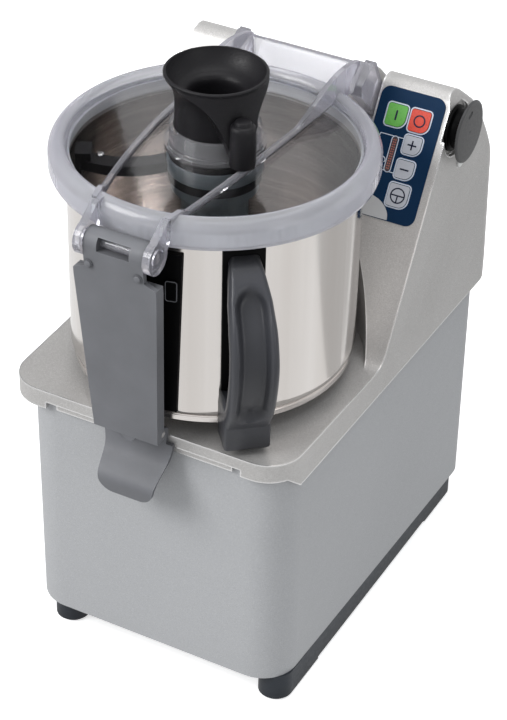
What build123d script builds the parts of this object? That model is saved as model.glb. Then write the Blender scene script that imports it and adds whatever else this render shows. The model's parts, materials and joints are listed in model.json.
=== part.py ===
from build123d import *
import os
from math import atan, cos, degrees, pi, radians, sin, sqrt

# Table-top bowl cutter, 5.5 litre class. Millimetres, +Z up, the front faces -Y.
# Modelled with x = 0 on the machine's centre plane, y = 0 at the deck's front lip
# and z = 0 on the table. The last section moves it all to the middle of its own
# bottom face.

# Fits and gaps
running_gap = 0.05
free_gap = 0.3
bearing_gap = 0.4

# Deck and cover casting
deck_z = 236.0
deck_depth = 362.0
deck_front_half = 120.0
deck_rear_half = 126.5
deck_front_radius = 28.0
deck_rear_radius = 25.0
cover_skin = 9.0
cover_side_wall = 6.0
lip_drop = 16.0
lip_recess_drop = 10.0
lip_recess_half = 84.0
lip_recess_depth = 2.4
lip_notch_width = 8.0
lip_wall = 5.2
skirt_wall = 2.4
skirt_front_y = 27.0
skirt_front_drop = 28.0
skirt_rear_drop = 20.0
boss_radius = 60.0
boss_height = 12.0
cove_radius = 20.0

# Rear column
column_front_y = 156.0
column_slope = 0.6
column_apex_rise = 191.5
column_back_bulge = (338.0, 110.0)
crest_radius = 14.0
shoulder_rise = 168.0
shoulder_left = 113.0
shoulder_right = 122.0
crest_left = 102.5
crest_right = 110.0
crest_margin = 5.0
ear_recess_depth = 4.0
scoop_gap = 8.5

# Lower body
body_bottom_z = 25.0
body_top_left = 109.5
body_top_right = 116.5
body_bottom_left = 105.5
body_bottom_right = 124.5
body_rear_flare = 5.0
body_top_front_y = 5.8
body_bottom_front_y = 2.5
body_top_rear_y = 349.0
body_bottom_rear_y = 343.0
body_front_radius = 30.0
body_rear_radius = 24.0
body_wall = 3.0
body_hem = 9.0
base_plate_thickness = 3.0

# Foot rails
left_rail_x = -81.0
right_rail_x = 106.5
rail_half_width = 14.0
rail_front_y = 11.0
rail_rear_y = 331.0
rail_spine_inset = 24.0
rail_spine_half = 3.8
rail_arch_rise = 4.0
rail_arch_margin = 60.0
pad_thickness = 2.0
pad_inset = 2.0
base_screw_inset = 30.0
base_screw_depth = 9.0

# Bowl
bowl_y = 109.0
bowl_radius = 109.4
bowl_wall = 2.0
bowl_corner_radius = 13.0
bowl_rim_rise = 170.0
bowl_rim_reach = 3.6
bowl_rim_height = 6.0
bowl_hem_inset = 2.2
bowl_hem_height = 4.0
tube_inner_radius = 14.0
tube_wall = 2.5
tube_height = 60.0

# Bowl handle
handle_angle = 40.0
handle_half_width = 17.5
handle_neck_half_width = 16.2
handle_top_half_width = 11.5
handle_foot_half_width = 17.2
handle_foot_reach = 26.0
handle_foot_bottom = 6.0
handle_foot_top = 33.0
handle_crown_reach = 51.0
handle_crown_rise = 93.0
handle_neck_reach = 29.0
handle_neck_rise = 138.0
handle_top_reach = 5.5
handle_top_rise = 158.0
handle_arch_rise = 4.5
handle_thickness = 12.0
handle_gap_bottom = 44.0
handle_gap_top = 139.0
handle_gap_floor = 17.0
handle_plate_thickness = 2.5
handle_plate_half_width = 15.4
handle_plate_top = 164.0
groove_half_width = 11.5
groove_bottom = 34.0
groove_top = 149.0
groove_depth = 6.5
handle_edge_radius = 3.5

# Guide bracket on the bowl's front
bracket_top_half = 33.6
bracket_bottom_half = 29.6
bracket_thickness = 2.4
bracket_bottom = 22.0
bracket_top = 158.0
magnet_pad_angle = 13.6
magnet_pad_width = 9.0
magnet_pad_height = 17.0
magnet_pad_rise = 128.0
magnet_pad_thickness = 1.6
rivet_radius = 2.4
rivet_head = 1.2
handle_rivet_rises = (26.0, 148.0)
handle_rivet_depth = 9.0
bracket_rivet_rises = (50.0, 130.0)
bracket_rivet_depth = 1.6

# Drive
spindle_radius = 10.0
spindle_top_rise = 116.0
spindle_tip_radius = 6.0
spindle_tip_rise = 96.0
motor_radius = 82.0
motor_bottom_z = 44.0
motor_top_z = 206.0
motor_wall = 5.0
shield_thickness = 12.0
stator_inner_radius = 46.0
stator_bottom_z = 86.0
stator_top_z = 160.0
winding_reach = 17.0
winding_inset = 7.0
rotor_gap = 0.8
rotor_fan_height = 9.0
bearing_outer_radius = 21.0
bearing_height = 12.0
seal_radius = 17.0
seal_height = 7.0
tie_bolt_radius = 3.0
tie_bolt_head_radius = 5.5
tie_bolt_count = 4

# Blades
hub_outer_radius = 24.0
hub_bottom_rise = 18.0
hub_top_rise = 90.0
hub_bore_gap = 1.0
hub_cap_gap = 3.0
blade_tip_gap = 6.4
blade_thickness = 2.5
blade_root_width = 34.0
blade_rises = (22.0, 46.0)
blade_sweep = 38.0
blade_bevel = 1.2
blade_bevel_width = 5.0
clamp_knob_radius = 17.0
clamp_knob_height = 18.0
clamp_lobes = 5
clamp_lobe_radius = 5.0

# Lid
lid_plate_bottom = 182.0
lid_plate_thickness = 4.0
lid_window_inset = 0.4
lid_overhang = 9.5
lid_skirt_bottom = 170.0
lid_skirt_wall = 3.6
lid_crown_rise = 193.0
collar_inner_radius = 31.0
collar_outer_radius = 33.8
collar_top = 203.0
collar_ring_radius = 37.5
collar_ring_height = 3.0
collar_step = 1.6
seal_reach = 2.9
rib_thickness = 4.0
rib_height = 4.0
rib_front_half = 29.0
rib_rear_half = 47.0
rib_left_bow = 9.0
rib_right_bow = 0.0
fin_start_reach = 43.0
fin_peak_reach = 96.0
fin_peak_rise = 207.0
fin_setback = 24.0
fin_rear_rise = 203.0

# Lid hinge
hinge_y = 270.0
hinge_drop = 36.5
rod_radius = 5.0
arm_inner_half = 50.0
arm_thickness = 9.0
arm_hub_radius = 10.5
slot_gap = 1.2
slot_floor_gap = 2.5
slot_reach = 46.0
rod_left_x = -72.0
bush_radius = 8.0
bush_length = 12.0
knob_base_radius = 22.0
knob_seat_depth = 3.0
knob_disc_radius = 25.0
knob_disc_thickness = 2.2
knob_disc_proud = 11.2
knob_hole_offset = 14.0

# Latch
latch_reach = 12.5
latch_axis_rise = 170.0
latch_pin_radius = 4.0
barrel_radius = 10.0
ear_loop_radius = 12.5
ear_loop_inner = 25.0
ear_loop_thickness = 6.0
ear_loop_web = 2.5
ear_hole_radius = 7.0
barrel_half = 24.2
latch_top_half = 33.6
latch_bottom_half = 27.0
latch_shoulder_rise = 148.0
latch_bottom_rise = 5.2
latch_bottom_face_y = -22.0
latch_skin = 4.0
latch_flange_depth = 10.0
latch_flange = 2.8
latch_window_half = 13.2
latch_window_bottom = 167.4
latch_window_top = 177.4
latch_boss_radius = 3.2
latch_boss_x = 20.0
latch_boss_rise = 155.5

# Tongue lever under the latch
tongue_pin_y = -13.4
tongue_pin_rise = 10.0
tongue_pin_radius = 2.5
tongue_knuckle_radius = 4.4
tongue_thickness = 3.5
tongue_top_half = 29.0
tongue_tip_half = 21.5
tongue_tip_rise = -52.0
tongue_tip_y = -24.0
tongue_bend_rise = -34.0
tongue_lip_gap = 0.8
tongue_corner_radius = 12.0
nose_half = 22.0
nose_reach = 3.4

# Scraper and its drive funnel
funnel_top = 246.0
funnel_rim_radius = 38.4
funnel_neck_radius = 30.5
funnel_neck_bottom = 170.0
funnel_flare_bottom = 226.0
throat_radius = 19.0
funnel_step_radius = 27.0
funnel_step_rise = 231.0
crank_radius = 46.0
crank_angle = 54.0
crank_knob_radius = 9.8
crank_knob_bottom = 191.5
crank_knob_top = 225.0
crank_boss_radius = 6.0
crank_boss_height = 3.0
web_half_width = 6.5
hub_radius = 34.5
hub_bottom = 157.0
flange_radius = 32.5
flange_height = 8.0
sleeve_radius = 25.0
sleeve_bottom = 126.0
arm_angle = -61.6
arm_end_gap = 4.5
arm_half_width = 7.5
arm_top = 172.0
arm_height = 8.0
arm_bow = 9.0
wiper_gap = 4.9
wiper_thickness = 5.0
wiper_half_width = 9.0
wiper_top = 178.0
wiper_bottom = 112.0

# Control panel, measured along the column's front face from the deck's level.
# Keys and light bar are measured from the panel's lower left corner.
panel_ear_gap = 1.8
panel_width = 54.0
panel_low = 109.0
panel_high = 210.0
panel_thickness = 0.6
panel_radius = 8.0
key_travel = 0.6
key_height = 0.8
key_rows = {
    "start_key": (17.0, 80.0, 16.0, 17.0),
    "stop_key": (36.6, 80.0, 16.0, 17.0),
    "plus_key": (36.0, 60.8, 14.0, 14.0),
    "minus_key": (35.2, 41.4, 14.0, 14.0),
    "pulse_key": (35.6, 21.0, 16.5, 17.5),
}
key_corner = 2.0
key_big_corner = 6.5
light_bar_x = 21.2
light_bar_low = 37.0
light_bar_high = 64.0
light_bar_half = 2.1
board_thickness = 1.6
pocket_depth = 5.2
pocket_margin = 4.0
switch_half = 3.0
switch_height = 1.4

# Column side and back
plug_radius = 5.0
plug_y = 279.0
plug_rise = 122.0
plug_proud = 1.5
gland_radius = 11.0
gland_z = 78.0
gland_x = -70.0
gland_length = 20.0
gland_hole_radius = 4.0
vent_half_width = 46.0
vent_bottom_z = 96.0
vent_top_z = 176.0
vent_slats = 9
vent_x = 20.0
vent_thickness = 3.0
inverter_left = -70.0
inverter_right = 60.0
inverter_depth = 66.0
inverter_height = 110.0
inverter_gap = 22.0
inverter_wall = 40.0
inverter_fins = 10
inverter_slot = 7.0
screw_radius = 2.0
screw_head_radius = 3.8
screw_head = 2.2

slope_angle = atan(column_slope)
ear_inner_half = arm_inner_half + arm_thickness + slot_gap
crest_rise = column_apex_rise + crest_margin
lid_top = lid_plate_bottom + lid_plate_thickness
boss_top = deck_z + boss_height
bowl_floor = boss_top + bowl_wall
bowl_inner_radius = bowl_radius - bowl_wall
bowl_rim_radius = bowl_radius + bowl_rim_reach
bowl_hem_radius = bowl_radius - bowl_hem_inset
bowl_rim_z = deck_z + bowl_rim_rise
body_top_z = deck_z - cover_skin
blade_tip_radius = bowl_inner_radius - blade_tip_gap
wiper_radius = bowl_inner_radius - wiper_gap
arm_reach = wiper_radius - arm_end_gap
lid_window_radius = bowl_radius - lid_window_inset
lid_outer_radius = bowl_rim_radius + lid_overhang
seal_inner_radius = bowl_radius - seal_reach
fin_start_y = bowl_y + fin_start_reach
fin_peak_y = bowl_y + fin_peak_reach
fin_rear_y = hinge_y - fin_setback
latch_axis_y = bowl_y - lid_outer_radius - latch_reach
hinge_rise = column_apex_rise - hinge_drop
hinge_z = deck_z + hinge_rise
latch_axis_z = deck_z + latch_axis_rise
tongue_pin_z = deck_z + tongue_pin_rise
rod_boss_left_x = rod_left_x - 4.5
panel_left = ear_inner_half + panel_ear_gap
panel_right = panel_left + panel_width
handle_inner_radius = bowl_radius + handle_plate_thickness

parts = {}


def block(x0, x1, y0, y1, z0, z1):
    """A box by its corners."""
    return Pos((x0 + x1) / 2, (y0 + y1) / 2, (z0 + z1) / 2) * Box(x1 - x0, y1 - y0, z1 - z0)


def post(x, y, z0, z1, radius):
    """An upright cylinder."""
    return Pos(x, y, (z0 + z1) / 2) * Cylinder(radius, z1 - z0)


def bar_x(x0, x1, y, z, radius):
    """A cylinder along X."""
    return Pos((x0 + x1) / 2, y, z) * Rot(0, 90, 0) * Cylinder(radius, x1 - x0)


def side_prism(face_or_points, x0, x1):
    """A (y, z) outline extruded from x0 to x1."""
    face = face_or_points
    if isinstance(face_or_points, (list, tuple)):
        face = Polygon(*face_or_points, align=None)
    return Pos(x0, 0, 0) * extrude(Plane.YZ * face, x1 - x0, dir=(1, 0, 0))


def front_prism(face, y0, y1):
    """An (x, z) outline extruded from y0 to y1."""
    return Pos(0, y0, 0) * extrude(Plane.XZ * face, y1 - y0, dir=(0, 1, 0))


def raised(face, height):
    """A plan outline pulled straight up."""
    return extrude(face, height, dir=(0, 0, 1))


def turned(face):
    """A (radius, z) outline turned about the bowl's axis."""
    return Pos(0, bowl_y, 0) * revolve(Plane.XZ * face, Axis.Z)


def ring(z0, z1, outer, inner):
    """A plain ring about the bowl's axis."""
    return post(0, bowl_y, z0, z1, outer) - post(0, bowl_y, z0, z1, inner)


def at_bowl(angle):
    """A place on the bowl's axis with +X pointing outwards; angle 0 is the front, + to the right."""
    return Pos(0, bowl_y, 0) * Rot(0, 0, angle - 90)


def plan(front, rear, front_y, rear_y, front_radius, rear_radius, z):
    """A four-sided plan outline with rounded corners, at height z; front and rear are (left, right) reaches."""
    corners = [(-front[0], front_y), (front[1], front_y), (rear[1], rear_y), (-rear[0], rear_y)]
    face = Polygon(*corners, align=None)
    face = fillet(face.vertices().group_by(Axis.Y)[0], front_radius)
    face = fillet([v for v in face.vertices() if v.Y > rear_y - 1], rear_radius)
    return Pos(0, 0, z) * face


def drawn_in(reaches, inset):
    """A pair of left and right reaches, each drawn in."""
    return (reaches[0] - inset, reaches[1] - inset)


def column_y(rise, depth=0.0):
    """The column's front face at a height over the deck, set back by a depth normal to it."""
    return column_front_y + column_slope * rise + depth / cos(slope_angle)


def panel_place(x, up, out=0.0):
    """A place on the column's front face: X across, Y up the slope, Z out of the face."""
    origin = (x, column_front_y + up * sin(slope_angle) - out * cos(slope_angle),
              deck_z + up * cos(slope_angle) + out * sin(slope_angle))
    normal = (0, -cos(slope_angle), sin(slope_angle))
    return Location(Plane(origin=origin, x_dir=(1, 0, 0), z_dir=normal))


def cover_profile(inset):
    """The casting's side view, all of it set in by a wall."""
    apex = (column_y(column_apex_rise), deck_z + column_apex_rise)
    top = Polyline((0, deck_z - lip_drop), (0, deck_z), (column_front_y, deck_z), apex)
    back = ThreePointArc(apex, (column_back_bulge[0], deck_z + column_back_bulge[1]), (deck_depth, deck_z))
    low = Polyline((deck_depth, deck_z), (deck_depth, deck_z - skirt_rear_drop),
                   (skirt_front_y, deck_z - skirt_front_drop),
                   (skirt_front_y / 2, deck_z - lip_drop), (0, deck_z - lip_drop))
    face = Face(Wire(top.edges() + back.edges() + low.edges()))
    face = fillet([v for v in face.vertices() if abs(v.X - column_front_y) < 1], cove_radius)
    face = fillet([v for v in face.vertices() if abs(v.Y - apex[1]) < 1], crest_radius)
    if inset:
        face = offset(face, -inset, kind=Kind.INTERSECTION)
    return face


def cover_plan(inset):
    """The casting's plan, upright to the deck and drawn in above it."""
    def level(front, rear, z):
        return plan(drawn_in(front, inset), drawn_in(rear, inset), inset, deck_depth - inset,
                    deck_front_radius - inset, deck_rear_radius - inset, z)
    deck_front = (deck_front_half, deck_front_half)
    deck_rear = (deck_rear_half, deck_rear_half)
    shoulders = (shoulder_left, shoulder_right)
    crests = (crest_left, crest_right)
    low = level(deck_front, deck_rear, deck_z - skirt_front_drop)
    deck = level(deck_front, deck_rear, deck_z)
    shoulder = level(shoulders, shoulders, deck_z + shoulder_rise)
    crest = level(crests, crests, deck_z + crest_rise)
    return loft([low, deck], ruled=True) + loft([deck, shoulder], ruled=True) + loft([shoulder, crest], ruled=True)


def arm_slots(grow, floor_gap):
    """The two slots that the lid's hinge arms swing in."""
    slots = []
    for side in (-1, 1):
        x0, x1 = sorted((side * (arm_inner_half - grow), side * (arm_inner_half + arm_thickness + grow)))
        floor = hinge_z - arm_hub_radius - floor_gap
        slots.append(block(x0, x1, hinge_y - slot_reach, deck_depth, floor, deck_z + crest_rise))
    return slots[0] + slots[1]


# Top cover: deck, lip and column in one casting
def make_top_cover():
    wide = deck_rear_half + 10
    outer = side_prism(cover_profile(0), -wide, wide) & cover_plan(0)
    outer += post(0, bowl_y, deck_z - cover_skin, boss_top, boss_radius)
    outer = outer.clean()
    recess_low = column_y(0)
    recess = side_prism([(recess_low - 60, deck_z), (recess_low + ear_recess_depth, deck_z),
                         (column_y(crest_rise, ear_recess_depth), deck_z + crest_rise),
                         (column_y(crest_rise) - 60, deck_z + crest_rise)],
                        -ear_inner_half, ear_inner_half)
    recess -= block(-ear_inner_half, ear_inner_half, 0, deck_depth, deck_z, deck_z + cove_radius)
    scoop_radius = bowl_radius + scoop_gap
    scoop = post(0, bowl_y, deck_z, deck_z + crest_rise, scoop_radius) - post(
        0, bowl_y, deck_z, boss_top, boss_radius)
    inside = side_prism(cover_profile(cover_skin), -wide, wide) & cover_plan(cover_side_wall)
    inside -= post(0, bowl_y, deck_z - cover_skin - 0.01, deck_z + crest_rise, scoop_radius + cover_side_wall)
    inside -= arm_slots(cover_side_wall, cover_side_wall)
    inside -= bar_x(rod_boss_left_x, wide, hinge_y, hinge_z, bush_radius + cover_side_wall)
    skirt_front = deck_front_half - skirt_wall
    skirt_rear = deck_rear_half - skirt_wall
    cellar = plan((skirt_front, skirt_front), (skirt_rear, skirt_rear), lip_wall, deck_depth - cover_skin,
                  deck_front_radius - skirt_wall, deck_rear_radius - skirt_wall, deck_z - skirt_front_drop - 1)
    cellar = raised(cellar, skirt_front_drop + 1 - cover_skin)
    cover = outer - recess - scoop - inside - cellar - lip_recess()
    cover -= arm_slots(slot_gap, slot_floor_gap)
    cover -= bar_x(rod_left_x - 2, wide, hinge_y, hinge_z, rod_radius + running_gap)
    for x0, x1 in bush_spans():
        cover -= bar_x(x0, x1, hinge_y, hinge_z, bush_radius)
    cover -= post(0, bowl_y, 0, boss_top, seal_radius)
    cover -= bar_x(knob_seat_x(), wide, hinge_y, hinge_z, knob_base_radius + free_gap)
    cover -= bar_x(plug_seat_x(), wide, plug_y, deck_z + plug_rise, plug_radius)
    return cover - panel_pocket(0.0)


def lip_recess():
    """The shallow step along the lip, with a notch at each end and one for the tongue's catch."""
    low, high = deck_z - skirt_front_drop - 1, deck_z - lip_recess_drop
    half, notch = lip_recess_half, lip_notch_width
    catch_half = nose_half + lip_recess_depth
    cut = block(-half, half, -1, lip_recess_depth, low, high)
    for x0, x1 in ((-half, notch - half), (-catch_half, catch_half), (half - notch, half)):
        cut += block(x0, x1, -1, lip_wall + 1, low, high)
    return cut


def bush_spans():
    """Where the hinge rod's bushes lie, just outside each slot."""
    edge = arm_inner_half + arm_thickness + slot_gap
    return [(-edge - bush_length, -edge), (edge, edge + bush_length)]


def panel_pocket(inset):
    """The shallow pocket in the column's face for the key board, or its outline drawn in."""
    width = panel_right - panel_left - 2 * (pocket_margin + inset)
    height = panel_high - panel_low - 2 * (pocket_margin + inset)
    middle_x, middle = (panel_left + panel_right) / 2, (panel_low + panel_high) / 2
    outline = RectangleRounded(width, height, panel_radius - pocket_margin)
    return panel_place(middle_x, middle, -pocket_depth) * extrude(outline, pocket_depth)


def knob_seat_x():
    """The flat that the hinge knob's base sits on."""
    return cover_side_x(hinge_rise) - knob_seat_depth


def knob_disc_x():
    """The knob disc's outer face."""
    return cover_side_x(hinge_rise) + knob_disc_proud


def plug_seat_x():
    return cover_side_x(plug_rise) - 4


# Lower body and base
def body_loft(inset, z0, z1):
    """The body's outline from floor to top, drawn in by a wall; its foot stands further right than its top."""
    def level(left, right, front_y, rear_y, z):
        rear = drawn_in((left, right), inset - body_rear_flare)
        return plan(drawn_in((left, right), inset), rear, front_y + inset, rear_y - inset,
                    body_front_radius - inset, body_rear_radius - inset, z)
    low = level(body_bottom_left, body_bottom_right - body_rear_flare, body_bottom_front_y, body_bottom_rear_y, z0)
    high = level(body_top_left, body_top_right, body_top_front_y, body_top_rear_y, z1)
    return loft([low, high], ruled=True)


def base_slab(z0, z1):
    """A slab wider than the body on all sides."""
    return block(-2 * body_bottom_left, 2 * body_bottom_right, -deck_depth, 2 * deck_depth, z0, z1)


def make_body():
    outer = body_loft(0, body_bottom_z, body_top_z)
    inner = body_loft(body_wall, body_bottom_z, body_top_z)
    hem = body_loft(body_wall, body_bottom_z, body_top_z) - body_loft(body_hem, body_bottom_z, body_top_z)
    hem &= base_slab(body_bottom_z, body_bottom_z + body_wall)
    shell = outer - inner + hem
    shell -= rear_place(gland_x, gland_z) * Cylinder(gland_radius - 3, 6 * body_wall)
    window = extrude(Rectangle(2 * vent_half_width, vent_top_z - vent_bottom_z), 3 * body_wall, both=True)
    return shell - rear_place(vent_x, (vent_bottom_z + vent_top_z) / 2) * window


def rear_wall_y(z):
    """Outer face of the body's rear wall at a height."""
    share = (z - body_bottom_z) / (body_top_z - body_bottom_z)
    return body_bottom_rear_y + share * (body_top_rear_y - body_bottom_rear_y)


def rear_place(x, z):
    """A place on the rear wall's outer face, Z out of the wall, leaning as the wall does."""
    lean = atan((body_top_rear_y - body_bottom_rear_y) / (body_top_z - body_bottom_z))
    return Location(Plane(origin=(x, rear_wall_y(z), z), x_dir=(1, 0, 0), z_dir=(0, cos(lean), -sin(lean))))


def make_vent():
    """A louvred panel that fills the opening in the rear wall."""
    place = rear_place(vent_x, (vent_bottom_z + vent_top_z) / 2) * Pos(0, 0, -vent_thickness)
    height = vent_top_z - vent_bottom_z - 2 * free_gap
    panel = extrude(Rectangle(2 * (vent_half_width - free_gap), height), vent_thickness)
    pitch = height / (vent_slats + 1)
    for i in range(vent_slats):
        slot = extrude(SlotOverall(2 * vent_half_width - 12, pitch * 0.45), vent_thickness)
        panel -= Pos(0, (i - (vent_slats - 1) / 2) * pitch, 0) * slot
    return place * panel


rail_places = (left_rail_x, right_rail_x)


def make_rails():
    rails = []
    length = rail_rear_y - rail_front_y
    for x in rail_places:
        outline = Pos(x, (rail_front_y + rail_rear_y) / 2) * SlotOverall(length, 2 * rail_half_width, rotation=90)
        rail = Pos(0, 0, pad_thickness) * raised(outline, body_bottom_z - pad_thickness)
        rail += block(x - rail_spine_half, x + rail_spine_half, rail_front_y + rail_spine_inset,
                      rail_rear_y - rail_spine_inset, body_bottom_z - 1, body_bottom_z + body_wall)
        rail -= block(x - 2 * rail_half_width, x + 2 * rail_half_width, rail_front_y + rail_arch_margin,
                      rail_rear_y - rail_arch_margin, 0, rail_arch_rise)
        rails.append(rail)
    return rails


def make_pads():
    pads = []
    reach = rail_arch_margin - 2 * pad_inset
    for x in rail_places:
        for y in (rail_front_y + pad_inset + reach / 2, rail_rear_y - pad_inset - reach / 2):
            outline = Pos(x, y) * SlotOverall(reach, 2 * (rail_half_width - pad_inset), rotation=90)
            pads.append(raised(outline, pad_thickness))
    return pads


def make_base_plate():
    plate = body_loft(body_wall + free_gap, body_bottom_z, body_top_z)
    z0 = body_bottom_z + body_wall
    plate &= base_slab(z0, z0 + base_plate_thickness)
    return plate - post(0, bowl_y, 0, deck_z, tube_inner_radius)


def make_base_screws():
    """Screws that hold the rails to the base plate, heads up inside."""
    screws = []
    top = body_bottom_z + body_wall + base_plate_thickness
    ends = (rail_front_y + base_screw_inset, (rail_front_y + rail_rear_y) / 2, rail_rear_y - base_screw_inset)
    for x in rail_places:
        for y in ends:
            head = post(x, y, top, top + screw_head, screw_head_radius)
            screws.append(head + post(x, y, body_bottom_z - base_screw_depth, top, screw_radius))
    return screws


# Bowl and what is fixed to it
def make_bowl():
    r, w, c = bowl_radius, bowl_wall, bowl_corner_radius
    z0, z1 = boss_top, bowl_rim_z
    tube = tube_inner_radius + tube_wall
    outer = Polyline((tube_inner_radius, z0), (r - c, z0))
    diag = c * (1 - cos(pi / 4))
    bend = ThreePointArc((r - c, z0), (r - diag, z0 + diag), (r, z0 + c))
    side = Polyline((r, z0 + c), (r, z1 - bowl_rim_height), (bowl_rim_radius, z1 - bowl_rim_height + 1),
                    (bowl_rim_radius, z1), (r - w, z1), (r - w, z0 + c))
    ci = c - w
    diag_in = ci * (1 - cos(pi / 4)) + w
    bend_in = ThreePointArc((r - w, z0 + c), (r - diag_in, z0 + diag_in), (r - c, z0 + w))
    inner = Polyline((r - c, z0 + w), (tube, z0 + w), (tube, z0 + tube_height),
                     (tube_inner_radius, z0 + tube_height), (tube_inner_radius, z0))
    face = Face(Wire(outer.edges() + bend.edges() + side.edges() + bend_in.edges() + inner.edges()))
    hem_inner = bowl_radius - bowl_corner_radius
    hem = ring(boss_top, boss_top + bowl_hem_height, bowl_hem_radius, hem_inner)
    hem += ring(boss_top + bowl_hem_height - 0.5, boss_top + bowl_hem_height + 3, bowl_hem_radius - 0.5, hem_inner)
    solid_bowl = turned(face)
    cavity = post(0, bowl_y, bowl_floor, bowl_rim_z, bowl_inner_radius)
    hem -= turned(Face(Wire(
        Polyline((0, bowl_floor), (r - c, bowl_floor)).edges()
        + bend_in.edges()
        + Polyline((r - w, z0 + c), (r - w, z1), (0, z1), (0, bowl_floor)).edges())))
    return (solid_bowl + hem).clean()


def handle_curve(inset):
    """The grip's outer curve in side view, (radius, z), drawn in by an inset."""
    reaches = [(handle_foot_reach, handle_foot_top - 3), (handle_crown_reach, handle_crown_rise),
               (handle_neck_reach, handle_neck_rise), (handle_top_reach, handle_top_rise)]
    points = [(bowl_radius + reach - inset, deck_z + rise) for reach, rise in reaches]
    return Spline(*points, tangents=((1.1, 1), (-1, 0.45)))


def handle_outline(inset=0.0):
    """The handle's side view; an inset draws its outer curve in."""
    outer = handle_curve(inset)
    root = bowl_radius - bowl_wall
    low, top = deck_z + handle_foot_bottom, deck_z + handle_top_rise + handle_arch_rise
    end, start = outer @ 1, outer @ 0
    rest = Polyline(end, (end.X, top), (root - handle_thickness, top), (root - handle_thickness, low),
                    (start.X, low), start)
    return Face(Wire(outer.edges() + rest.edges()))


def handle_front():
    """The grip's front view, (across, z): widest at the crown, with an arched top."""
    z = deck_z
    right = Spline((handle_foot_half_width, z + handle_foot_bottom), (handle_half_width, z + handle_crown_rise),
                   (handle_neck_half_width, z + handle_neck_rise), (handle_top_half_width, z + handle_top_rise))
    left = right.mirror(Plane.YZ)
    arch = ThreePointArc(right @ 1, (0, z + handle_top_rise + handle_arch_rise), left @ 1)
    return Face(Wire(right.edges() + left.edges() + arch.edges() + Line(left @ 0, right @ 0).edges()))


def handle_gap():
    """The finger gap in side view: flat floor on the foot, then a curve inside the grip."""
    z = deck_z
    inner = handle_inner_radius
    floor = (inner + handle_gap_floor, z + handle_gap_bottom)
    crown = (bowl_radius + handle_crown_reach - handle_thickness, z + handle_crown_rise)
    neck = (bowl_radius + handle_neck_reach - handle_thickness + 1, z + handle_neck_rise - handle_thickness)
    curve = Spline(floor, crown, neck, (inner, z + handle_gap_top), tangents=((1, 0.6), (-1, 0.55)))
    rest = Polyline((inner, z + handle_gap_top), (bowl_radius - bowl_wall, z + handle_gap_top),
                    (bowl_radius - bowl_wall, z + handle_gap_bottom), floor)
    return Face(Wire(curve.edges() + rest.edges()))


def make_handle():
    """Grip with a grooved outer face, on a square foot block."""
    z = deck_z
    far = 2 * (bowl_radius + handle_crown_reach)
    wide = 2 * handle_half_width
    grip = front_prism(handle_outline(), -wide, wide) & side_prism(handle_front(), 0, far)
    longest = [e for e in grip.edges() if e.center().X > bowl_radius + handle_foot_reach]
    longest = [e for e in longest if e.length > handle_crown_rise - handle_foot_top and abs(e.center().Y) > 1]
    grip = fillet(longest, handle_edge_radius)
    grip -= front_prism(handle_gap(), -wide, wide)
    capsule = Pos(0, z + (groove_bottom + groove_top) / 2) * SlotOverall(
        groove_top - groove_bottom, 2 * groove_half_width, rotation=90)
    floor = front_prism(handle_outline(groove_depth), -wide, wide)
    grip -= side_prism(capsule, bowl_radius, far) - floor
    foot = block(bowl_radius - bowl_wall, bowl_radius + handle_foot_reach, -handle_foot_half_width,
                 handle_foot_half_width, z + handle_foot_bottom, z + handle_foot_top)
    foot_edges = [e for e in foot.edges() if e.center().X > bowl_radius + handle_foot_reach - 1]
    foot = fillet(foot_edges, handle_edge_radius / 2)
    body = at_bowl(handle_angle) * (grip + foot)
    body -= post(0, bowl_y, z, z + handle_foot_top, bowl_radius)
    return body - post(0, bowl_y, z + handle_foot_top, z + 2 * bowl_rim_rise, handle_inner_radius)


def make_handle_plate():
    """The strip on the bowl's wall that the grip is screwed to, seen through the finger gap."""
    z = deck_z
    band = ring(z + handle_foot_top, z + handle_plate_top, handle_inner_radius, bowl_radius)
    strip = block(0, 2 * bowl_radius, -handle_plate_half_width, handle_plate_half_width, z, z + handle_plate_top)
    return band & at_bowl(handle_angle) * strip


def rivets(angle, rises, radius_out):
    """Pins through the bowl's wall at one angle, their flat heads inside the bowl."""
    pins = []
    for rise in rises:
        place = at_bowl(angle) * Pos(0, 0, deck_z + rise) * Rot(0, 90, 0)
        shank = post(0, 0, bowl_inner_radius - rivet_head, radius_out, rivet_radius)
        head = post(0, 0, bowl_inner_radius - rivet_head, bowl_inner_radius + bowl_wall, 2 * rivet_radius)
        pins.append(place * shank + (place * head & post(0, bowl_y, deck_z, bowl_rim_z, bowl_inner_radius)))
    return pins


def make_bracket():
    outer = bowl_radius + bracket_thickness
    z0, z1 = deck_z + bracket_bottom, deck_z + bracket_top
    face = Polygon((-bracket_bottom_half, z0), (bracket_bottom_half, z0), (bracket_top_half, z1),
                   (-bracket_top_half, z1), align=None)
    return ring(z0, z1, outer, bowl_radius) & front_prism(face, bowl_y - outer, bowl_y)


def make_magnet_pad():
    inner = bowl_radius + bracket_thickness
    pad = extrude(RectangleRounded(magnet_pad_width, magnet_pad_height, 2.0), inner + magnet_pad_thickness)
    pad = at_bowl(magnet_pad_angle) * Pos(0, 0, deck_z + magnet_pad_rise) * Rot(0, 90, 0) * Rot(0, 0, 90) * pad
    return pad - post(0, bowl_y, 0, deck_z + bowl_rim_rise, inner)


# Motor and spindle
def make_motor_housing():
    shell = ring(motor_bottom_z + shield_thickness, motor_top_z - shield_thickness, motor_radius,
                 motor_radius - motor_wall)
    for i in range(24):
        fin = block(motor_radius - 1, motor_radius + 5, -1.2, 1.2, motor_bottom_z + 2 * shield_thickness,
                    motor_top_z - 2 * shield_thickness)
        shell += Pos(0, bowl_y, 0) * Rot(0, 0, i * 360 / 24) * fin
    return shell


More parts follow.
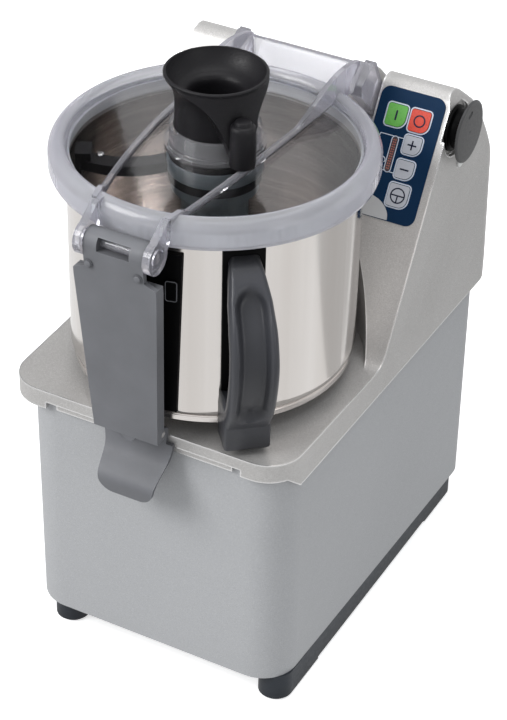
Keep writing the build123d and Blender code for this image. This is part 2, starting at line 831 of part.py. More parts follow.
def make_shield(z0, z1, bearing_z0, bearing_z1):
    shield = ring(z0, z1, motor_radius, spindle_radius + 3)
    shield -= post(0, bowl_y, bearing_z0, bearing_z1, bearing_outer_radius)
    for x, y in bolt_places():
        shield -= post(x, y, z0, z1, tie_bolt_radius + running_gap)
    return shield


def bolt_places():
    reach = motor_radius - motor_wall - tie_bolt_head_radius
    turns = [radians(45 + i * 360 / tie_bolt_count) for i in range(tie_bolt_count)]
    return [(reach * cos(t), bowl_y + reach * sin(t)) for t in turns]


def make_tie_bolts():
    bolts = []
    for x, y in bolt_places():
        bolt = post(x, y, motor_bottom_z, motor_top_z, tie_bolt_radius)
        bolt += post(x, y, motor_bottom_z - 4, motor_bottom_z, tie_bolt_head_radius)
        bolts.append(bolt)
    return bolts


def make_motor_feet():
    """Four posts that carry the motor on the base plate."""
    z0 = body_bottom_z + body_wall + base_plate_thickness
    posts = []
    for x, y in bolt_places():
        foot = post(x, y, z0, motor_bottom_z, tie_bolt_head_radius + 4)
        posts.append(foot - post(x, y, motor_bottom_z - 4 - free_gap, motor_bottom_z, tie_bolt_head_radius + free_gap))
    return posts


def make_stator():
    core = ring(stator_bottom_z, stator_top_z, motor_radius - motor_wall, stator_inner_radius)
    for x, y in bolt_places():
        core -= post(x, y, stator_bottom_z, stator_top_z, tie_bolt_radius + 2)
    return core


def make_windings():
    outer = motor_radius - motor_wall - 2 * winding_inset
    inner = stator_inner_radius + winding_inset / 2
    coils = []
    for z0, z1 in ((stator_bottom_z - winding_reach, stator_bottom_z), (stator_top_z, stator_top_z + winding_reach)):
        coil = ring(z0, z1, outer, inner)
        coils.append(fillet(coil.edges().filter_by(GeomType.CIRCLE), 4))
    return coils


def make_rotor_core():
    radius = stator_inner_radius - rotor_gap
    core = ring(stator_bottom_z, stator_top_z, radius, spindle_radius)
    for i in range(8):
        blade = block(radius - 16, radius - 3, -1.5, 1.5, stator_top_z, stator_top_z + rotor_fan_height)
        core += Pos(0, bowl_y, 0) * Rot(0, 0, i * 45) * blade
    return core


def make_bearing(z0):
    outer = ring(z0, z0 + bearing_height, bearing_outer_radius, bearing_outer_radius - 3)
    inner = ring(z0, z0 + bearing_height, spindle_radius + 3, spindle_radius + running_gap)
    middle = (bearing_outer_radius + spindle_radius) / 2
    ball = (bearing_outer_radius - spindle_radius) / 2 - 3
    cage = ring(z0 + bearing_height / 2 - ball, z0 + bearing_height / 2 + ball, middle + ball, middle - ball)
    return [outer, inner, cage]


upper_bearing_z = motor_top_z - bearing_height
lower_bearing_z = motor_bottom_z


def make_spindle():
    shaft = post(0, bowl_y, motor_bottom_z, deck_z + spindle_tip_rise, spindle_radius)
    shaft += post(0, bowl_y, deck_z + spindle_tip_rise, deck_z + spindle_top_rise, spindle_tip_radius)
    flat = spindle_radius - 1.5
    for side in (-1, 1):
        y0, y1 = sorted((side * flat, side * 2 * spindle_radius))
        cut = block(-spindle_radius, spindle_radius, y0, y1, boss_top + tube_height + hub_cap_gap,
                    deck_z + spindle_tip_rise)
        shaft -= Pos(0, bowl_y, 0) * cut
    return shaft


def make_shaft_seal():
    lip = spindle_radius + bearing_gap
    body = ring(boss_top - seal_height, boss_top, seal_radius, lip + 2)
    return body + ring(boss_top - seal_height, boss_top - seal_height + 2, seal_radius, lip)


# Blades
def make_hub():
    tube = tube_inner_radius + tube_wall
    bore = tube + hub_bore_gap
    hub = ring(deck_z + hub_bottom_rise, deck_z + hub_top_rise, hub_outer_radius, bore)
    cap_z = boss_top + tube_height + hub_cap_gap
    hub += ring(cap_z, deck_z + hub_top_rise, bore, spindle_radius)
    hub = fillet(hub.edges().filter_by(GeomType.CIRCLE).group_by(Axis.Z)[-1].sort_by(SortBy.RADIUS)[-1], 3)
    return hub


def make_blade(rise, turn):
    """One swept blade: a ring on the hub and a curved arm with a bevelled leading edge."""
    def at(radius, angle):
        return (radius * cos(radians(angle)), radius * sin(radians(angle)))
    root = hub_outer_radius + 4
    lead = ThreePointArc(at(root, 28), at(0.62 * blade_tip_radius, 10), at(blade_tip_radius, -blade_sweep))
    tip = ThreePointArc(at(blade_tip_radius, -blade_sweep), at(blade_tip_radius - 1, -blade_sweep - 4),
                        at(blade_tip_radius - 5, -blade_sweep - 7))
    trail = ThreePointArc(at(blade_tip_radius - 5, -blade_sweep - 7), at(0.56 * blade_tip_radius, -26),
                          at(root, -48))
    close = Line(at(root, -48), at(root, 28))
    face = Face(Wire(lead.edges() + tip.edges() + trail.edges() + close.edges()))
    arm = raised(face, blade_thickness)
    edge = [e for e in arm.edges().filter_by(GeomType.CIRCLE)
            if e.length > blade_tip_radius * 0.7 and e.center().Z > blade_thickness / 2]
    edge = sorted(edge, key=lambda e: -e.center().Y)[0]
    arm = chamfer(edge, blade_bevel, blade_bevel_width)
    collar = Cylinder(hub_outer_radius + 7, blade_thickness, align=(Align.CENTER, Align.CENTER, Align.MIN))
    blade = arm + collar - Cylinder(hub_outer_radius, 3 * blade_thickness)
    return Pos(0, bowl_y, deck_z + rise) * Rot(0, 0, turn) * blade


def make_clamp_knob():
    z0 = deck_z + hub_top_rise
    knob = post(0, bowl_y, z0, z0 + clamp_knob_height, clamp_knob_radius)
    for i in range(clamp_lobes):
        lobe = post(clamp_knob_radius + 1, 0, z0 + 3, z0 + clamp_knob_height, clamp_lobe_radius)
        knob -= Pos(0, bowl_y, 0) * Rot(0, 0, i * 360 / clamp_lobes) * lobe
    knob -= post(0, bowl_y, z0, deck_z + spindle_tip_rise, spindle_radius + running_gap)
    return knob - post(0, bowl_y, z0, z0 + clamp_knob_height, spindle_tip_radius)


# Lid
def make_lid():
    z = deck_z
    plate, top, crown = z + lid_plate_bottom, z + lid_top, z + lid_crown_rise
    r, win, wall = lid_outer_radius, lid_window_radius, lid_skirt_wall
    skirt = z + lid_skirt_bottom
    inner = Polyline((collar_inner_radius, plate), (r - wall, plate), (r - wall, skirt), (r - 1, skirt),
                     (r, skirt + 3), (r, top - 4))
    shoulder = ThreePointArc((r, top - 4), (r - 3, crown - 3), (r - 8, crown))
    roll = ThreePointArc((r - 8, crown), (win + 2.5, crown - 1.2), (win, top + 2.5))
    back = Polyline((win, top + 2.5), (win - 1, top), (collar_ring_radius, top),
                    (collar_ring_radius, top + collar_ring_height),
                    (collar_ring_radius - collar_step, top + collar_ring_height),
                    (collar_ring_radius - collar_step, top + 2 * collar_ring_height - 1),
                    (collar_outer_radius, top + 2 * collar_ring_height - 1), (collar_outer_radius, z + collar_top),
                    (collar_inner_radius, z + collar_top), (collar_inner_radius, plate))
    lid = turned(Face(Wire(inner.edges() + shoulder.edges() + roll.edges() + back.edges())))
    for side, bow in ((-1, rib_left_bow), (1, rib_right_bow)):
        lid += lid_rib(side, bow)
        lid += lid_ear(side)
        lid += lid_arm(side)
    lid += lid_rear_wall()
    return lid - make_latch_pin()


def make_latch_pin():
    reach = ear_loop_inner + ear_loop_thickness - 1
    return bar_x(-reach, reach, latch_axis_y, latch_axis_z, latch_pin_radius)


def rib_x(side, bow, y):
    """Where a rib's middle lies across the lid: straight flare from front to rear, with a bow between."""
    front, rear = bowl_y - lid_outer_radius, fin_rear_y
    share = (y - front) / (rear - front)
    return side * (rib_front_half + (rib_rear_half - rib_front_half) * share + (bow + 4) * sin(pi * share))


def lid_rib(side, bow):
    """One bowed rib over the window that grows into a fin at the back."""
    front, rear = bowl_y - lid_outer_radius + 3, fin_rear_y
    half = rib_thickness / 2
    ys = [front, front + (rear - front) / 2, rear]
    spots = [(rib_x(side, bow, y), y) for y in ys]
    path = ThreePointArc(*[Vector(x, y) for x, y in spots])
    inner = ThreePointArc(*[Vector(x - half, y) for x, y in spots])
    outer = ThreePointArc(*[Vector(x + half, y) for x, y in spots])
    ends = Line(inner @ 0, outer @ 0).edges() + Line(inner @ 1, outer @ 1).edges()
    footprint = Face(Wire(inner.edges() + outer.edges() + ends))
    z = deck_z
    wall = Pos(0, 0, z + lid_plate_bottom + 1) * raised(footprint, fin_peak_rise)
    low = z + lid_top + rib_height
    side_view = Polyline((front - 5, z + lid_plate_bottom), (front - 5, z + lid_crown_rise + 1.5),
                         (bowl_y - lid_window_radius + 4, z + lid_crown_rise + 1), (bowl_y - lid_window_radius + 12, low),
                         (fin_start_y, low))
    fin = Spline((fin_start_y, low), (fin_peak_y, z + fin_peak_rise), (fin_rear_y + 4, z + fin_rear_rise),
                 tangents=((1, 0.25), (1, -0.35)))
    down = Polyline((fin_rear_y + 4, z + fin_rear_rise), (fin_rear_y + 4, z + fin_rear_rise - 6),
                    (fin_rear_y - 10, z + lid_plate_bottom), (front - 5, z + lid_plate_bottom))
    profile = Face(Wire(side_view.edges() + fin.edges() + down.edges()))
    rib = wall & side_prism(profile, -lid_outer_radius, lid_outer_radius)
    return rib - ring(z + lid_plate_bottom - 20, z + lid_skirt_bottom, 3 * lid_outer_radius, lid_outer_radius)


def lid_ear(side):
    """A rounded loop that drops from the rim and holds the latch's bar."""
    z = deck_z
    y_rim = bowl_y - lid_outer_radius
    outline = [(y_rim + 8, z + lid_crown_rise), (y_rim + 2, z + lid_crown_rise),
               (latch_axis_y - 6, latch_axis_z + ear_loop_radius - 2.5),
               (latch_axis_y, latch_axis_z - 3), (y_rim + 0.5, z + lid_skirt_bottom + 1),
               (y_rim + 8, z + lid_plate_bottom + 1)]
    x0, x1 = sorted((side * ear_loop_inner, side * (ear_loop_inner + ear_loop_thickness)))
    web = side_prism(outline, x0, x1)
    ear = web + bar_x(x0, x1, latch_axis_y, latch_axis_z, ear_loop_radius)
    outside = sorted((side * (ear_loop_inner + ear_loop_web), side * (ear_loop_inner + ear_loop_thickness + 1)))
    ear -= bar_x(*outside, latch_axis_y, latch_axis_z, ear_hole_radius)
    return ear - post(0, bowl_y, z, z + lid_plate_bottom, lid_outer_radius - 1)


def lid_arm(side):
    """A hinge arm from the fin's foot, down beside the column's middle, to the rod."""
    z = deck_z
    x0, x1 = sorted((side * (rib_rear_half - rib_thickness / 2), side * (arm_inner_half + arm_thickness)))
    web = side_prism([(fin_rear_y - 16, z + lid_top - 3), (fin_rear_y - 16, z + lid_top + 6),
                      (fin_rear_y + 4, z + fin_rear_rise - 1), (fin_rear_y + 4, z + fin_rear_rise - 6),
                      (fin_rear_y - 10, z + lid_top - 3)], x0, x1)
    a0, a1 = sorted((side * arm_inner_half, side * (arm_inner_half + arm_thickness)))
    link = side_prism([(fin_rear_y - 16, z + lid_top - 3), (fin_rear_y - 16, z + lid_top + 6),
                       (fin_rear_y + 8, z + fin_rear_rise - 1), (hinge_y + arm_hub_radius - 4, hinge_z + 6),
                       (hinge_y - arm_hub_radius + 3, hinge_z - 6)], a0, a1)
    arm = web + link + bar_x(a0, a1, hinge_y, hinge_z, arm_hub_radius)
    return arm - bar_x(a0 - 1, a1 + 1, hinge_y, hinge_z, rod_radius + running_gap)


def lid_rear_wall():
    """The cross wall between the fins, and the shelf that joins it to the rim."""
    z = deck_z
    half = rib_rear_half
    wall = side_prism([(fin_rear_y - 16, z + lid_plate_bottom + 1), (fin_rear_y - 12, z + lid_plate_bottom + 1),
                       (fin_rear_y + 3, z + fin_rear_rise - 2), (fin_rear_y - 1, z + fin_rear_rise - 2)],
                      -half, half)
    shelf = block(-half, half, bowl_y + lid_window_radius, fin_rear_y - 13, z + lid_plate_bottom + 1,
                  z + lid_plate_bottom + 4)
    return wall + (shelf - post(0, bowl_y, z, z + fin_peak_rise, lid_outer_radius - 2))


def make_lid_seal():
    z = deck_z
    outer = lid_outer_radius - lid_skirt_wall
    low, high = bowl_rim_z + free_gap, z + lid_plate_bottom
    face = Polygon((seal_inner_radius, high), (seal_inner_radius + 1, low + 3), (seal_inner_radius + 4, low),
                   (outer - 1, low), (outer, low + 2), (outer, high), align=None)
    return turned(face)


# Latch
def latch_face_y(rise):
    """The latch plate's front face at a height over the deck."""
    top_y = latch_axis_y - barrel_radius
    share = (latch_axis_rise - rise) / (latch_axis_rise - latch_bottom_rise)
    return top_y + share * (latch_bottom_face_y - top_y)


def make_latch():
    z = deck_z
    low, mid, high = latch_bottom_rise, latch_shoulder_rise, latch_axis_rise
    skin = side_prism([(latch_face_y(low), z + low), (latch_face_y(high), z + high),
                       (latch_face_y(high) + latch_skin, z + high), (latch_face_y(low) + latch_skin, z + low)],
                      -latch_top_half, latch_top_half)
    deep = latch_flange_depth
    thick = side_prism([(latch_face_y(low), z + low), (latch_face_y(mid), z + mid),
                        (latch_face_y(mid) + deep, z + mid), (latch_face_y(low) + deep, z + low)],
                       -latch_top_half, latch_top_half)
    wide = Polygon((-latch_bottom_half, z + low), (latch_bottom_half, z + low), (latch_top_half, z + mid - 6),
                   (latch_top_half, z + mid), (barrel_half, z + mid + 4), (barrel_half, z + high),
                   (-barrel_half, z + high), (-barrel_half, z + mid + 4), (-latch_top_half, z + mid),
                   (-latch_top_half, z + mid - 6), align=None)
    inset = latch_flange
    hollow = Polygon((-latch_bottom_half + inset, z + low - 5), (latch_bottom_half - inset, z + low - 5),
                     (latch_top_half - inset, z + mid - 6), (latch_top_half - inset, z + mid - inset),
                     (-latch_top_half + inset, z + mid - inset), (-latch_top_half + inset, z + mid - 6), align=None)
    plate = (skin + thick) & front_prism(wide, -100, 100)
    plate -= front_prism(hollow, -100, 100) & (thick - skin)
    barrel = bar_x(-barrel_half, barrel_half, latch_axis_y, latch_axis_z, barrel_radius)
    latch = plate + barrel
    latch -= bar_x(-barrel_half - 1, barrel_half + 1, latch_axis_y, latch_axis_z, latch_pin_radius + running_gap)
    latch -= block(-latch_window_half, latch_window_half, latch_axis_y - barrel_radius - 5, latch_axis_y,
                   z + latch_window_bottom, z + latch_window_top)
    for side in (-1, 1):
        y = latch_face_y(latch_boss_rise)
        boss = Pos(side * latch_boss_x, y, z + latch_boss_rise) * Rot(90, 0, 0) * Cylinder(latch_boss_radius, 2.0)
        latch += boss
    latch -= bar_x(-60, 60, tongue_pin_y, tongue_pin_z, tongue_pin_radius)
    return latch


def make_tongue_pin():
    reach = latch_bottom_half
    return bar_x(-reach, reach, tongue_pin_y, tongue_pin_z, tongue_pin_radius)


def make_tongue():
    """A bent lever: knuckle, apron in front of the lip, thumb blade that leans out, catch nose behind."""
    z = deck_z
    t = tongue_thickness
    back = -tongue_lip_gap
    outer = Spline((back - t, z - 6), (back - t - 4, z - 22), (tongue_tip_y, z + tongue_bend_rise - 4),
                   (tongue_tip_y + 1, z + tongue_tip_rise), tangents=((0, -1), (0.15, -1)))
    inner = Spline((tongue_tip_y + 1 + t, z + tongue_tip_rise), (tongue_tip_y + t, z + tongue_bend_rise - 5),
                   (back - 4, z - 23), (back, z - 6), tangents=((-0.15, 1), (0, 1)))
    close_low = Line((tongue_tip_y + 1, z + tongue_tip_rise), (tongue_tip_y + 1 + t, z + tongue_tip_rise))
    close_high = Line((back, z - 6), (back - t, z - 6))
    blade = side_prism(Face(Wire(outer.edges() + close_low.edges() + inner.edges() + close_high.edges())),
                       -tongue_top_half, tongue_top_half)
    top, tip = tongue_top_half, tongue_tip_half
    shape = Polygon((-top, z - 3), (top, z - 3), (top, z - 10), (tip + 3, z + tongue_bend_rise),
                    (tip, z + tongue_tip_rise), (-tip, z + tongue_tip_rise), (-tip - 3, z + tongue_bend_rise),
                    (-top, z - 10), align=None)
    shape = fillet([v for v in shape.vertices() if v.Y < z + tongue_tip_rise + 1], tongue_corner_radius)
    blade &= front_prism(shape, -60, 20)
    inner_half = latch_bottom_half - latch_flange - free_gap
    apron = block(-inner_half, inner_half, back - t, back, z - 6.01, z + 7)
    knuckle = bar_x(-inner_half, inner_half, tongue_pin_y, tongue_pin_z, tongue_knuckle_radius)
    link = side_prism([(tongue_pin_y, tongue_pin_z - 2), (tongue_pin_y, tongue_pin_z + tongue_knuckle_radius - 1),
                       (back, z + 7), (back, z + 2)], -inner_half, inner_half)
    rise = lip_recess_drop
    nose = side_prism([(back - 1, z - rise - 3.2), (back, z - rise - 3.2), (nose_reach - 0.6, z - rise - 6.6),
                       (nose_reach - 1.2, z - rise - 7.6), (back - 1, z - rise - 7.6)], -nose_half, nose_half)
    tongue = blade + apron + link + knuckle + nose
    return tongue - bar_x(-60, 60, tongue_pin_y, tongue_pin_z, tongue_pin_radius + running_gap)


# Scraper
def make_funnel():
    z = deck_z
    rim, neck, throat = funnel_rim_radius, funnel_neck_radius, throat_radius
    flare = Spline((neck, z + funnel_flare_bottom), (neck + 2.4, z + funnel_flare_bottom + 9),
                   (rim, z + funnel_top - 3), tangents=((0, 1), (0.8, 1)))
    top = Polyline((rim, z + funnel_top - 3), (rim, z + funnel_top - 0.8), (rim - 1, z + funnel_top),
                   (rim - 2.5, z + funnel_top))
    dish = Spline((rim - 2.5, z + funnel_top), (funnel_step_radius + 2, z + funnel_step_rise + 4),
                  (funnel_step_radius, z + funnel_step_rise), tangents=((-0.7, -1), (-1, -0.3)))
    rest = Polyline((funnel_step_radius, z + funnel_step_rise), (throat + 3, z + funnel_step_rise - 2),
                    (throat, z + funnel_step_rise - 8), (throat, z + funnel_neck_bottom),
                    (neck, z + funnel_neck_bottom), (neck, z + funnel_flare_bottom))
    cone = turned(Face(Wire(flare.edges() + top.edges() + dish.edges() + rest.edges())))
    knob = post(crank_radius, 0, z + crank_knob_bottom, z + crank_knob_top, crank_knob_radius)
    knob = fillet(knob.edges().filter_by(GeomType.CIRCLE), 1.6)
    knob += post(crank_radius, 0, z + crank_knob_top - 1, z + crank_knob_top + crank_boss_height, crank_boss_radius)
    web = Polygon((throat + 4, z + funnel_top - 4), (rim - 1, z + funnel_top - 3.5),
                  (rim + 3, z + funnel_top - 9), (crank_radius, z + crank_knob_top - 4),
                  (crank_radius, z + crank_knob_bottom + 6), (collar_outer_radius + 1.2, z + crank_knob_bottom + 9),
                  (collar_outer_radius + 1.2, z + collar_top + 1.0), (throat + 4, z + collar_top + 1.0), align=None)
    web = front_prism(web, -funnel_rim_radius, funnel_rim_radius)
    spread = funnel_rim_radius * 0.86
    taper = Polygon((-spread, z + funnel_top), (spread, z + funnel_top), (web_half_width, z + crank_knob_bottom + 4),
                    (-web_half_width, z + crank_knob_bottom + 4), align=None)
    web &= side_prism(taper, 0, 2 * crank_radius)
    web &= post(0, 0, z, z + funnel_top - 3, crank_radius + 2)
    crank = at_bowl(crank_angle) * (web + knob)
    crank -= turned(Polygon((0, z), (throat + 3, z), (throat + 3, z + funnel_step_rise),
                            (rim - 3, z + funnel_top), (0, z + funnel_top + 9), align=None))
    return cone + crank


def make_hub_ring():
    z = deck_z
    hub = ring(z + hub_bottom, z + lid_plate_bottom - bearing_gap, hub_radius, throat_radius)
    return hub - post(0, bowl_y, z + funnel_neck_bottom, z + funnel_top, funnel_neck_radius)


def make_flange():
    z = deck_z
    body = ring(z + hub_bottom - flange_height, z + hub_bottom, flange_radius, throat_radius)
    body += ring(z + sleeve_bottom, z + hub_bottom - flange_height, sleeve_radius, throat_radius)
    return fillet(body.edges().filter_by(GeomType.CIRCLE).group_by(Axis.Z)[-1].sort_by(SortBy.RADIUS)[-1], 1.5)


def make_arm():
    """A bowed bar from the hub to the wiper."""
    z = deck_z
    start, stop = hub_radius - 1, arm_reach
    middle = (start + stop) / 2
    outer = ThreePointArc((start, arm_half_width), (middle, arm_half_width + arm_bow), (stop, arm_half_width))
    inner = ThreePointArc((start, -arm_half_width), (middle, -arm_half_width + arm_bow), (stop, -arm_half_width))
    ends = Line(inner @ 0, outer @ 0).edges() + Line(inner @ 1, outer @ 1).edges()
    outline = Face(Wire(inner.edges() + outer.edges() + ends))
    bar = Pos(0, 0, z + arm_top - arm_height) * raised(outline, arm_height)
    arm = at_bowl(arm_angle) * bar
    arm &= post(0, bowl_y, z, z + funnel_top, arm_reach)
    return arm - post(0, bowl_y, z, z + funnel_top, hub_radius)


def make_wiper():
    z = deck_z
    outer = wiper_radius
    blade = block(outer - 12, outer + 2, -wiper_half_width, wiper_half_width, z + wiper_bottom, z + wiper_top)
    blade &= post(0, 0, z, z + funnel_top, outer)
    blade -= post(0, 0, z, z + funnel_top, arm_reach) - block(
        -outer, outer, -wiper_half_width, wiper_half_width, z + arm_top + 0.01, z + wiper_top)
    return at_bowl(arm_angle) * blade


def make_wiper_rivet():
    z = deck_z
    pin = Pos(arm_reach - 14, 0, 0) * post(0, 0, z + arm_top, z + arm_top + 2.0, 3.0)
    return at_bowl(arm_angle) * fillet(pin.edges().filter_by(GeomType.CIRCLE).group_by(Axis.Z)[-1], 1.5)


# Hinge rod and its knob
def cover_side_x(rise):
    """The column's side at a height over the deck."""
    share = rise / shoulder_rise
    return deck_rear_half + (shoulder_right - deck_rear_half) * share


def make_rod():
    return bar_x(rod_left_x, knob_disc_x() - knob_disc_thickness / 2, hinge_y, hinge_z, rod_radius)


def make_knob_base():
    """The collar that the knob's disc lies on."""
    x0, x1 = knob_seat_x(), knob_disc_x() - knob_disc_thickness - free_gap
    base = bar_x(x0, x1, hinge_y, hinge_z, knob_base_radius)
    return base - bar_x(x0, x1, hinge_y, hinge_z, rod_radius + free_gap)


def make_knob_disc():
    x1 = knob_disc_x()
    x0 = x1 - knob_disc_thickness
    disc = bar_x(x0, x1, hinge_y, hinge_z, knob_disc_radius)
    disc = fillet(disc.edges().filter_by(GeomType.CIRCLE).sort_by(Axis.X)[-1], knob_disc_thickness / 2)
    hole = side_prism(Pos(hinge_y - 2, hinge_z + knob_hole_offset) * SlotOverall(8, 4), x0, x1)
    disc -= hole
    return disc - bar_x(0, x1 - knob_disc_thickness / 2, hinge_y, hinge_z, rod_radius)


def make_bush(x0, x1):
    return bar_x(x0, x1, hinge_y, hinge_z, bush_radius) - bar_x(
        x0, x1, hinge_y, hinge_z, rod_radius + running_gap)


# Control panel
def key_face(width, height, grow=0.0):
    """A key's outline: three small corners and one big one at the lower right."""
    w, h = width / 2 + grow, height / 2 + grow
    face = Polygon((-w, -h), (w, -h), (w, h), (-w, h), align=None)
    face = fillet([v for v in face.vertices() if v.X > 0 and v.Y < 0], key_big_corner)
    return fillet([v for v in face.vertices() if abs(abs(v.X) - w) < 0.01 and abs(abs(v.Y) - h) < 0.01], key_corner)


def on_panel(x, up, out=0.0):
    """A place on the panel, measured from its lower left corner."""
    return panel_place(panel_left + x, panel_low + up, out)


def make_panel():
    width, height = panel_right - panel_left, panel_high - panel_low
    middle_x, middle = (panel_left + panel_right) / 2, (panel_low + panel_high) / 2
    foil = panel_place(middle_x, middle) * extrude(RectangleRounded(width, height, panel_radius), panel_thickness)
    for x, up, w, h in key_rows.values():
        foil -= on_panel(x, up) * extrude(key_face(w, h, free_gap), panel_thickness)
    bar = extrude(SlotOverall(light_bar_high - light_bar_low, 2 * light_bar_half, rotation=90), panel_thickness)
    return foil - on_panel(light_bar_x, (light_bar_low + light_bar_high) / 2) * bar


def make_light_bar():
    bar = extrude(SlotOverall(light_bar_high - light_bar_low, 2 * light_bar_half, rotation=90), panel_thickness + 0.3)
    return on_panel(light_bar_x, (light_bar_low + light_bar_high) / 2) * bar


def make_key(x, up, w, h):
    """A key cap that stands off the casting by its travel, with a short stem down to its switch."""
    cap = on_panel(x, up, key_travel + 0.1) * extrude(key_face(w, h), key_height)
    low = -pocket_depth + board_thickness + switch_height + key_travel + free_gap
    stem = on_panel(x, up, low) * extrude(Rectangle(2 * switch_half, 2 * switch_half), key_travel + 0.1 - low)
    return cap + stem


def make_switches():
    """Small switches under the key stems, each clear of its stem by a little over the travel."""
    made = []
    for x, up, w, h in key_rows.values():
        place = on_panel(x, up, board_thickness - pocket_depth)
        made.append(place * extrude(Rectangle(2 * switch_half, 2 * switch_half), switch_height))
    return made


def make_board():
    """The key board on the pocket's floor."""
    front = panel_pocket(free_gap)
    middle_x, middle = (panel_left + panel_right) / 2, (panel_low + panel_high) / 2
    slab = panel_place(middle_x, middle, -pocket_depth) * extrude(
        Rectangle(2 * (panel_right - panel_left), 2 * (panel_high - panel_low)), board_thickness)
    return front & slab


def make_inverter():
    """The speed drive's box on the base plate behind the motor, with cooling slots in its rear."""
    z0 = body_bottom_z + body_wall + base_plate_thickness
    z1 = z0 + inverter_height
    y0 = bowl_y + motor_radius + inverter_gap
    y1 = y0 + inverter_depth
    box = block(inverter_left, inverter_right, y0, y1, z0, z1)
    pitch = (inverter_right - inverter_left) / inverter_fins
    for i in range(inverter_fins):
        x = inverter_left + (i + 0.5) * pitch
        box -= block(x - inverter_slot / 2, x + inverter_slot / 2, y0 + inverter_wall, y1,
                     z0 + inverter_slot, z1 - inverter_slot)
    return box


def make_side_plug():
    x0 = plug_seat_x()
    plug = bar_x(x0, x0 + 4 + plug_proud, plug_y, deck_z + plug_rise, plug_radius)
    return fillet(plug.edges().filter_by(GeomType.CIRCLE).sort_by(Axis.X)[-1], 1.0)


def make_gland():
    """A cable gland in the rear wall: hexagon outside, dome, nut inside, all on one bore."""
    nut = extrude(RegularPolygon(gland_radius, 6), 5)
    dome = Cylinder(gland_radius - 3.5, gland_length, align=(Align.CENTER, Align.CENTER, Align.MIN))
    dome = Pos(0, 0, -body_wall - 4) * fillet(dome.edges().filter_by(GeomType.CIRCLE).sort_by(Axis.Z)[-1], 3)
    inner = Pos(0, 0, -body_wall - 4) * extrude(RegularPolygon(gland_radius, 6), 4)
    gland = nut + dome + inner - Cylinder(gland_hole_radius, 4 * gland_length)
    return rear_place(gland_x, gland_z) * gland


def make_lid_switch():
    """The safety switch that the hinge rod closes, at the rod's inner end."""
    x1 = rod_boss_left_x
    return block(x1 - 12, x1, hinge_y - 4, hinge_y + 12, hinge_z - 12, hinge_z + 3)


def less(shape, tools):
    """A shape with every tool's volume taken out."""
    for tool in tools:
        shape = shape - tool
    return shape


def make_all():
    parts["top_cover"] = make_top_cover()
    parts["body_housing"] = make_body()
    screws = make_base_screws()
    parts["base_plate"] = less(make_base_plate(), screws)
    parts["foot_rails"] = [less(rail, screws) for rail in make_rails()]
    parts["foot_pads"] = make_pads()
    parts["base_screws"] = screws
    parts["vent_grille"] = make_vent()
    parts["cable_gland"] = make_gland()
    handle_pins = rivets(handle_angle, handle_rivet_rises, bowl_radius + handle_rivet_depth)
    bracket_pins = rivets(0, bracket_rivet_rises, bowl_radius + bracket_rivet_depth)
    parts["bowl"] = less(make_bowl(), handle_pins + bracket_pins)
    parts["bowl_handle"] = less(make_handle(), handle_pins)
    parts["handle_plate"] = less(make_handle_plate(), handle_pins)
    parts["bowl_guide_bracket"] = less(make_bracket(), bracket_pins)
    parts["magnet_pad"] = make_magnet_pad()
    parts["handle_rivets"] = handle_pins
    parts["bracket_rivets"] = bracket_pins
    parts["motor_housing"] = make_motor_housing()
    parts["lower_end_shield"] = make_shield(motor_bottom_z, motor_bottom_z + shield_thickness,
                                            lower_bearing_z, lower_bearing_z + bearing_height)
    parts["upper_end_shield"] = make_shield(motor_top_z - shield_thickness, motor_top_z,
                                            upper_bearing_z, upper_bearing_z + bearing_height)
    parts["motor_tie_bolts"] = make_tie_bolts()
    parts["motor_feet"] = make_motor_feet()
    parts["stator_core"] = make_stator()
    parts["stator_windings"] = make_windings()
    parts["rotor_core"] = make_rotor_core()
    parts["lower_bearing"] = make_bearing(lower_bearing_z)
    parts["upper_bearing"] = make_bearing(upper_bearing_z)
    parts["drive_spindle"] = make_spindle()
    parts["shaft_seal"] = make_shaft_seal()
    parts["blade_hub"] = make_hub()
    parts["lower_blade"] = make_blade(blade_rises[0], 0)
    parts["upper_blade"] = make_blade(blade_rises[1], 180)
    parts["blade_clamp_knob"] = make_clamp_knob()
    parts["lid"] = make_lid()
    parts["lid_seal"] = make_lid_seal()
    parts["latch_pin"] = make_latch_pin()
    parts["latch_plate"] = make_latch()
    parts["tongue_pin"] = make_tongue_pin()
    parts["tongue_lever"] = make_tongue()
    parts["feed_funnel"] = make_funnel()
    parts["scraper_hub"] = make_hub_ring()
    parts["scraper_flange"] = make_flange()
    parts["scraper_arm"] = make_arm()
    parts["wiper_blade"] = make_wiper()
    parts["wiper_rivet"] = make_wiper_rivet()
    parts["hinge_rod"] = make_rod()
    parts["hinge_knob_base"] = make_knob_base()
    parts["hinge_knob_disc"] = make_knob_disc()
    for name, span in zip(("left_hinge_bush", "right_hinge_bush"), bush_spans()):
        parts[name] = make_bush(*span)
    parts["control_panel"] = make_panel()
    parts["light_bar"] = make_light_bar()
    for name, row in key_rows.items():
        parts[name] = make_key(*row)
    parts["key_switches"] = make_switches()
    parts["control_board"] = make_board()
    parts["drive_inverter"] = make_inverter()
    parts["side_plug"] = make_side_plug()
    parts["lid_switch"] = make_lid_switch()


def solids_of(shape):
    """Every solid in a shape or a list of shapes."""
    if isinstance(shape, (list, tuple)):
        return [s for item in shape for s in solids_of(item)]
    return list(shape.solids())


if __name__ == "__main__":
    make_all()
    whole = Compound(children=[s for shape in parts.values() for s in solids_of(shape)]).bounding_box()
    origin = Vector((whole.min.X + whole.max.X) / 2, (whole.min.Y + whole.max.Y) / 2, whole.min.Z)
    os.makedirs("parts", exist_ok=True)
    for name, shape in parts.items():
        solids = [s.moved(Location(-origin)) for s in solids_of(shape)]
        export_step(solids[0] if len(solids) == 1 else Compound(children=solids), f"parts/{name}.step")
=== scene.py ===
import json
import bmesh
import bpy
from math import atan, cos, pi, radians, sin, sqrt
from mathutils import Matrix, Vector


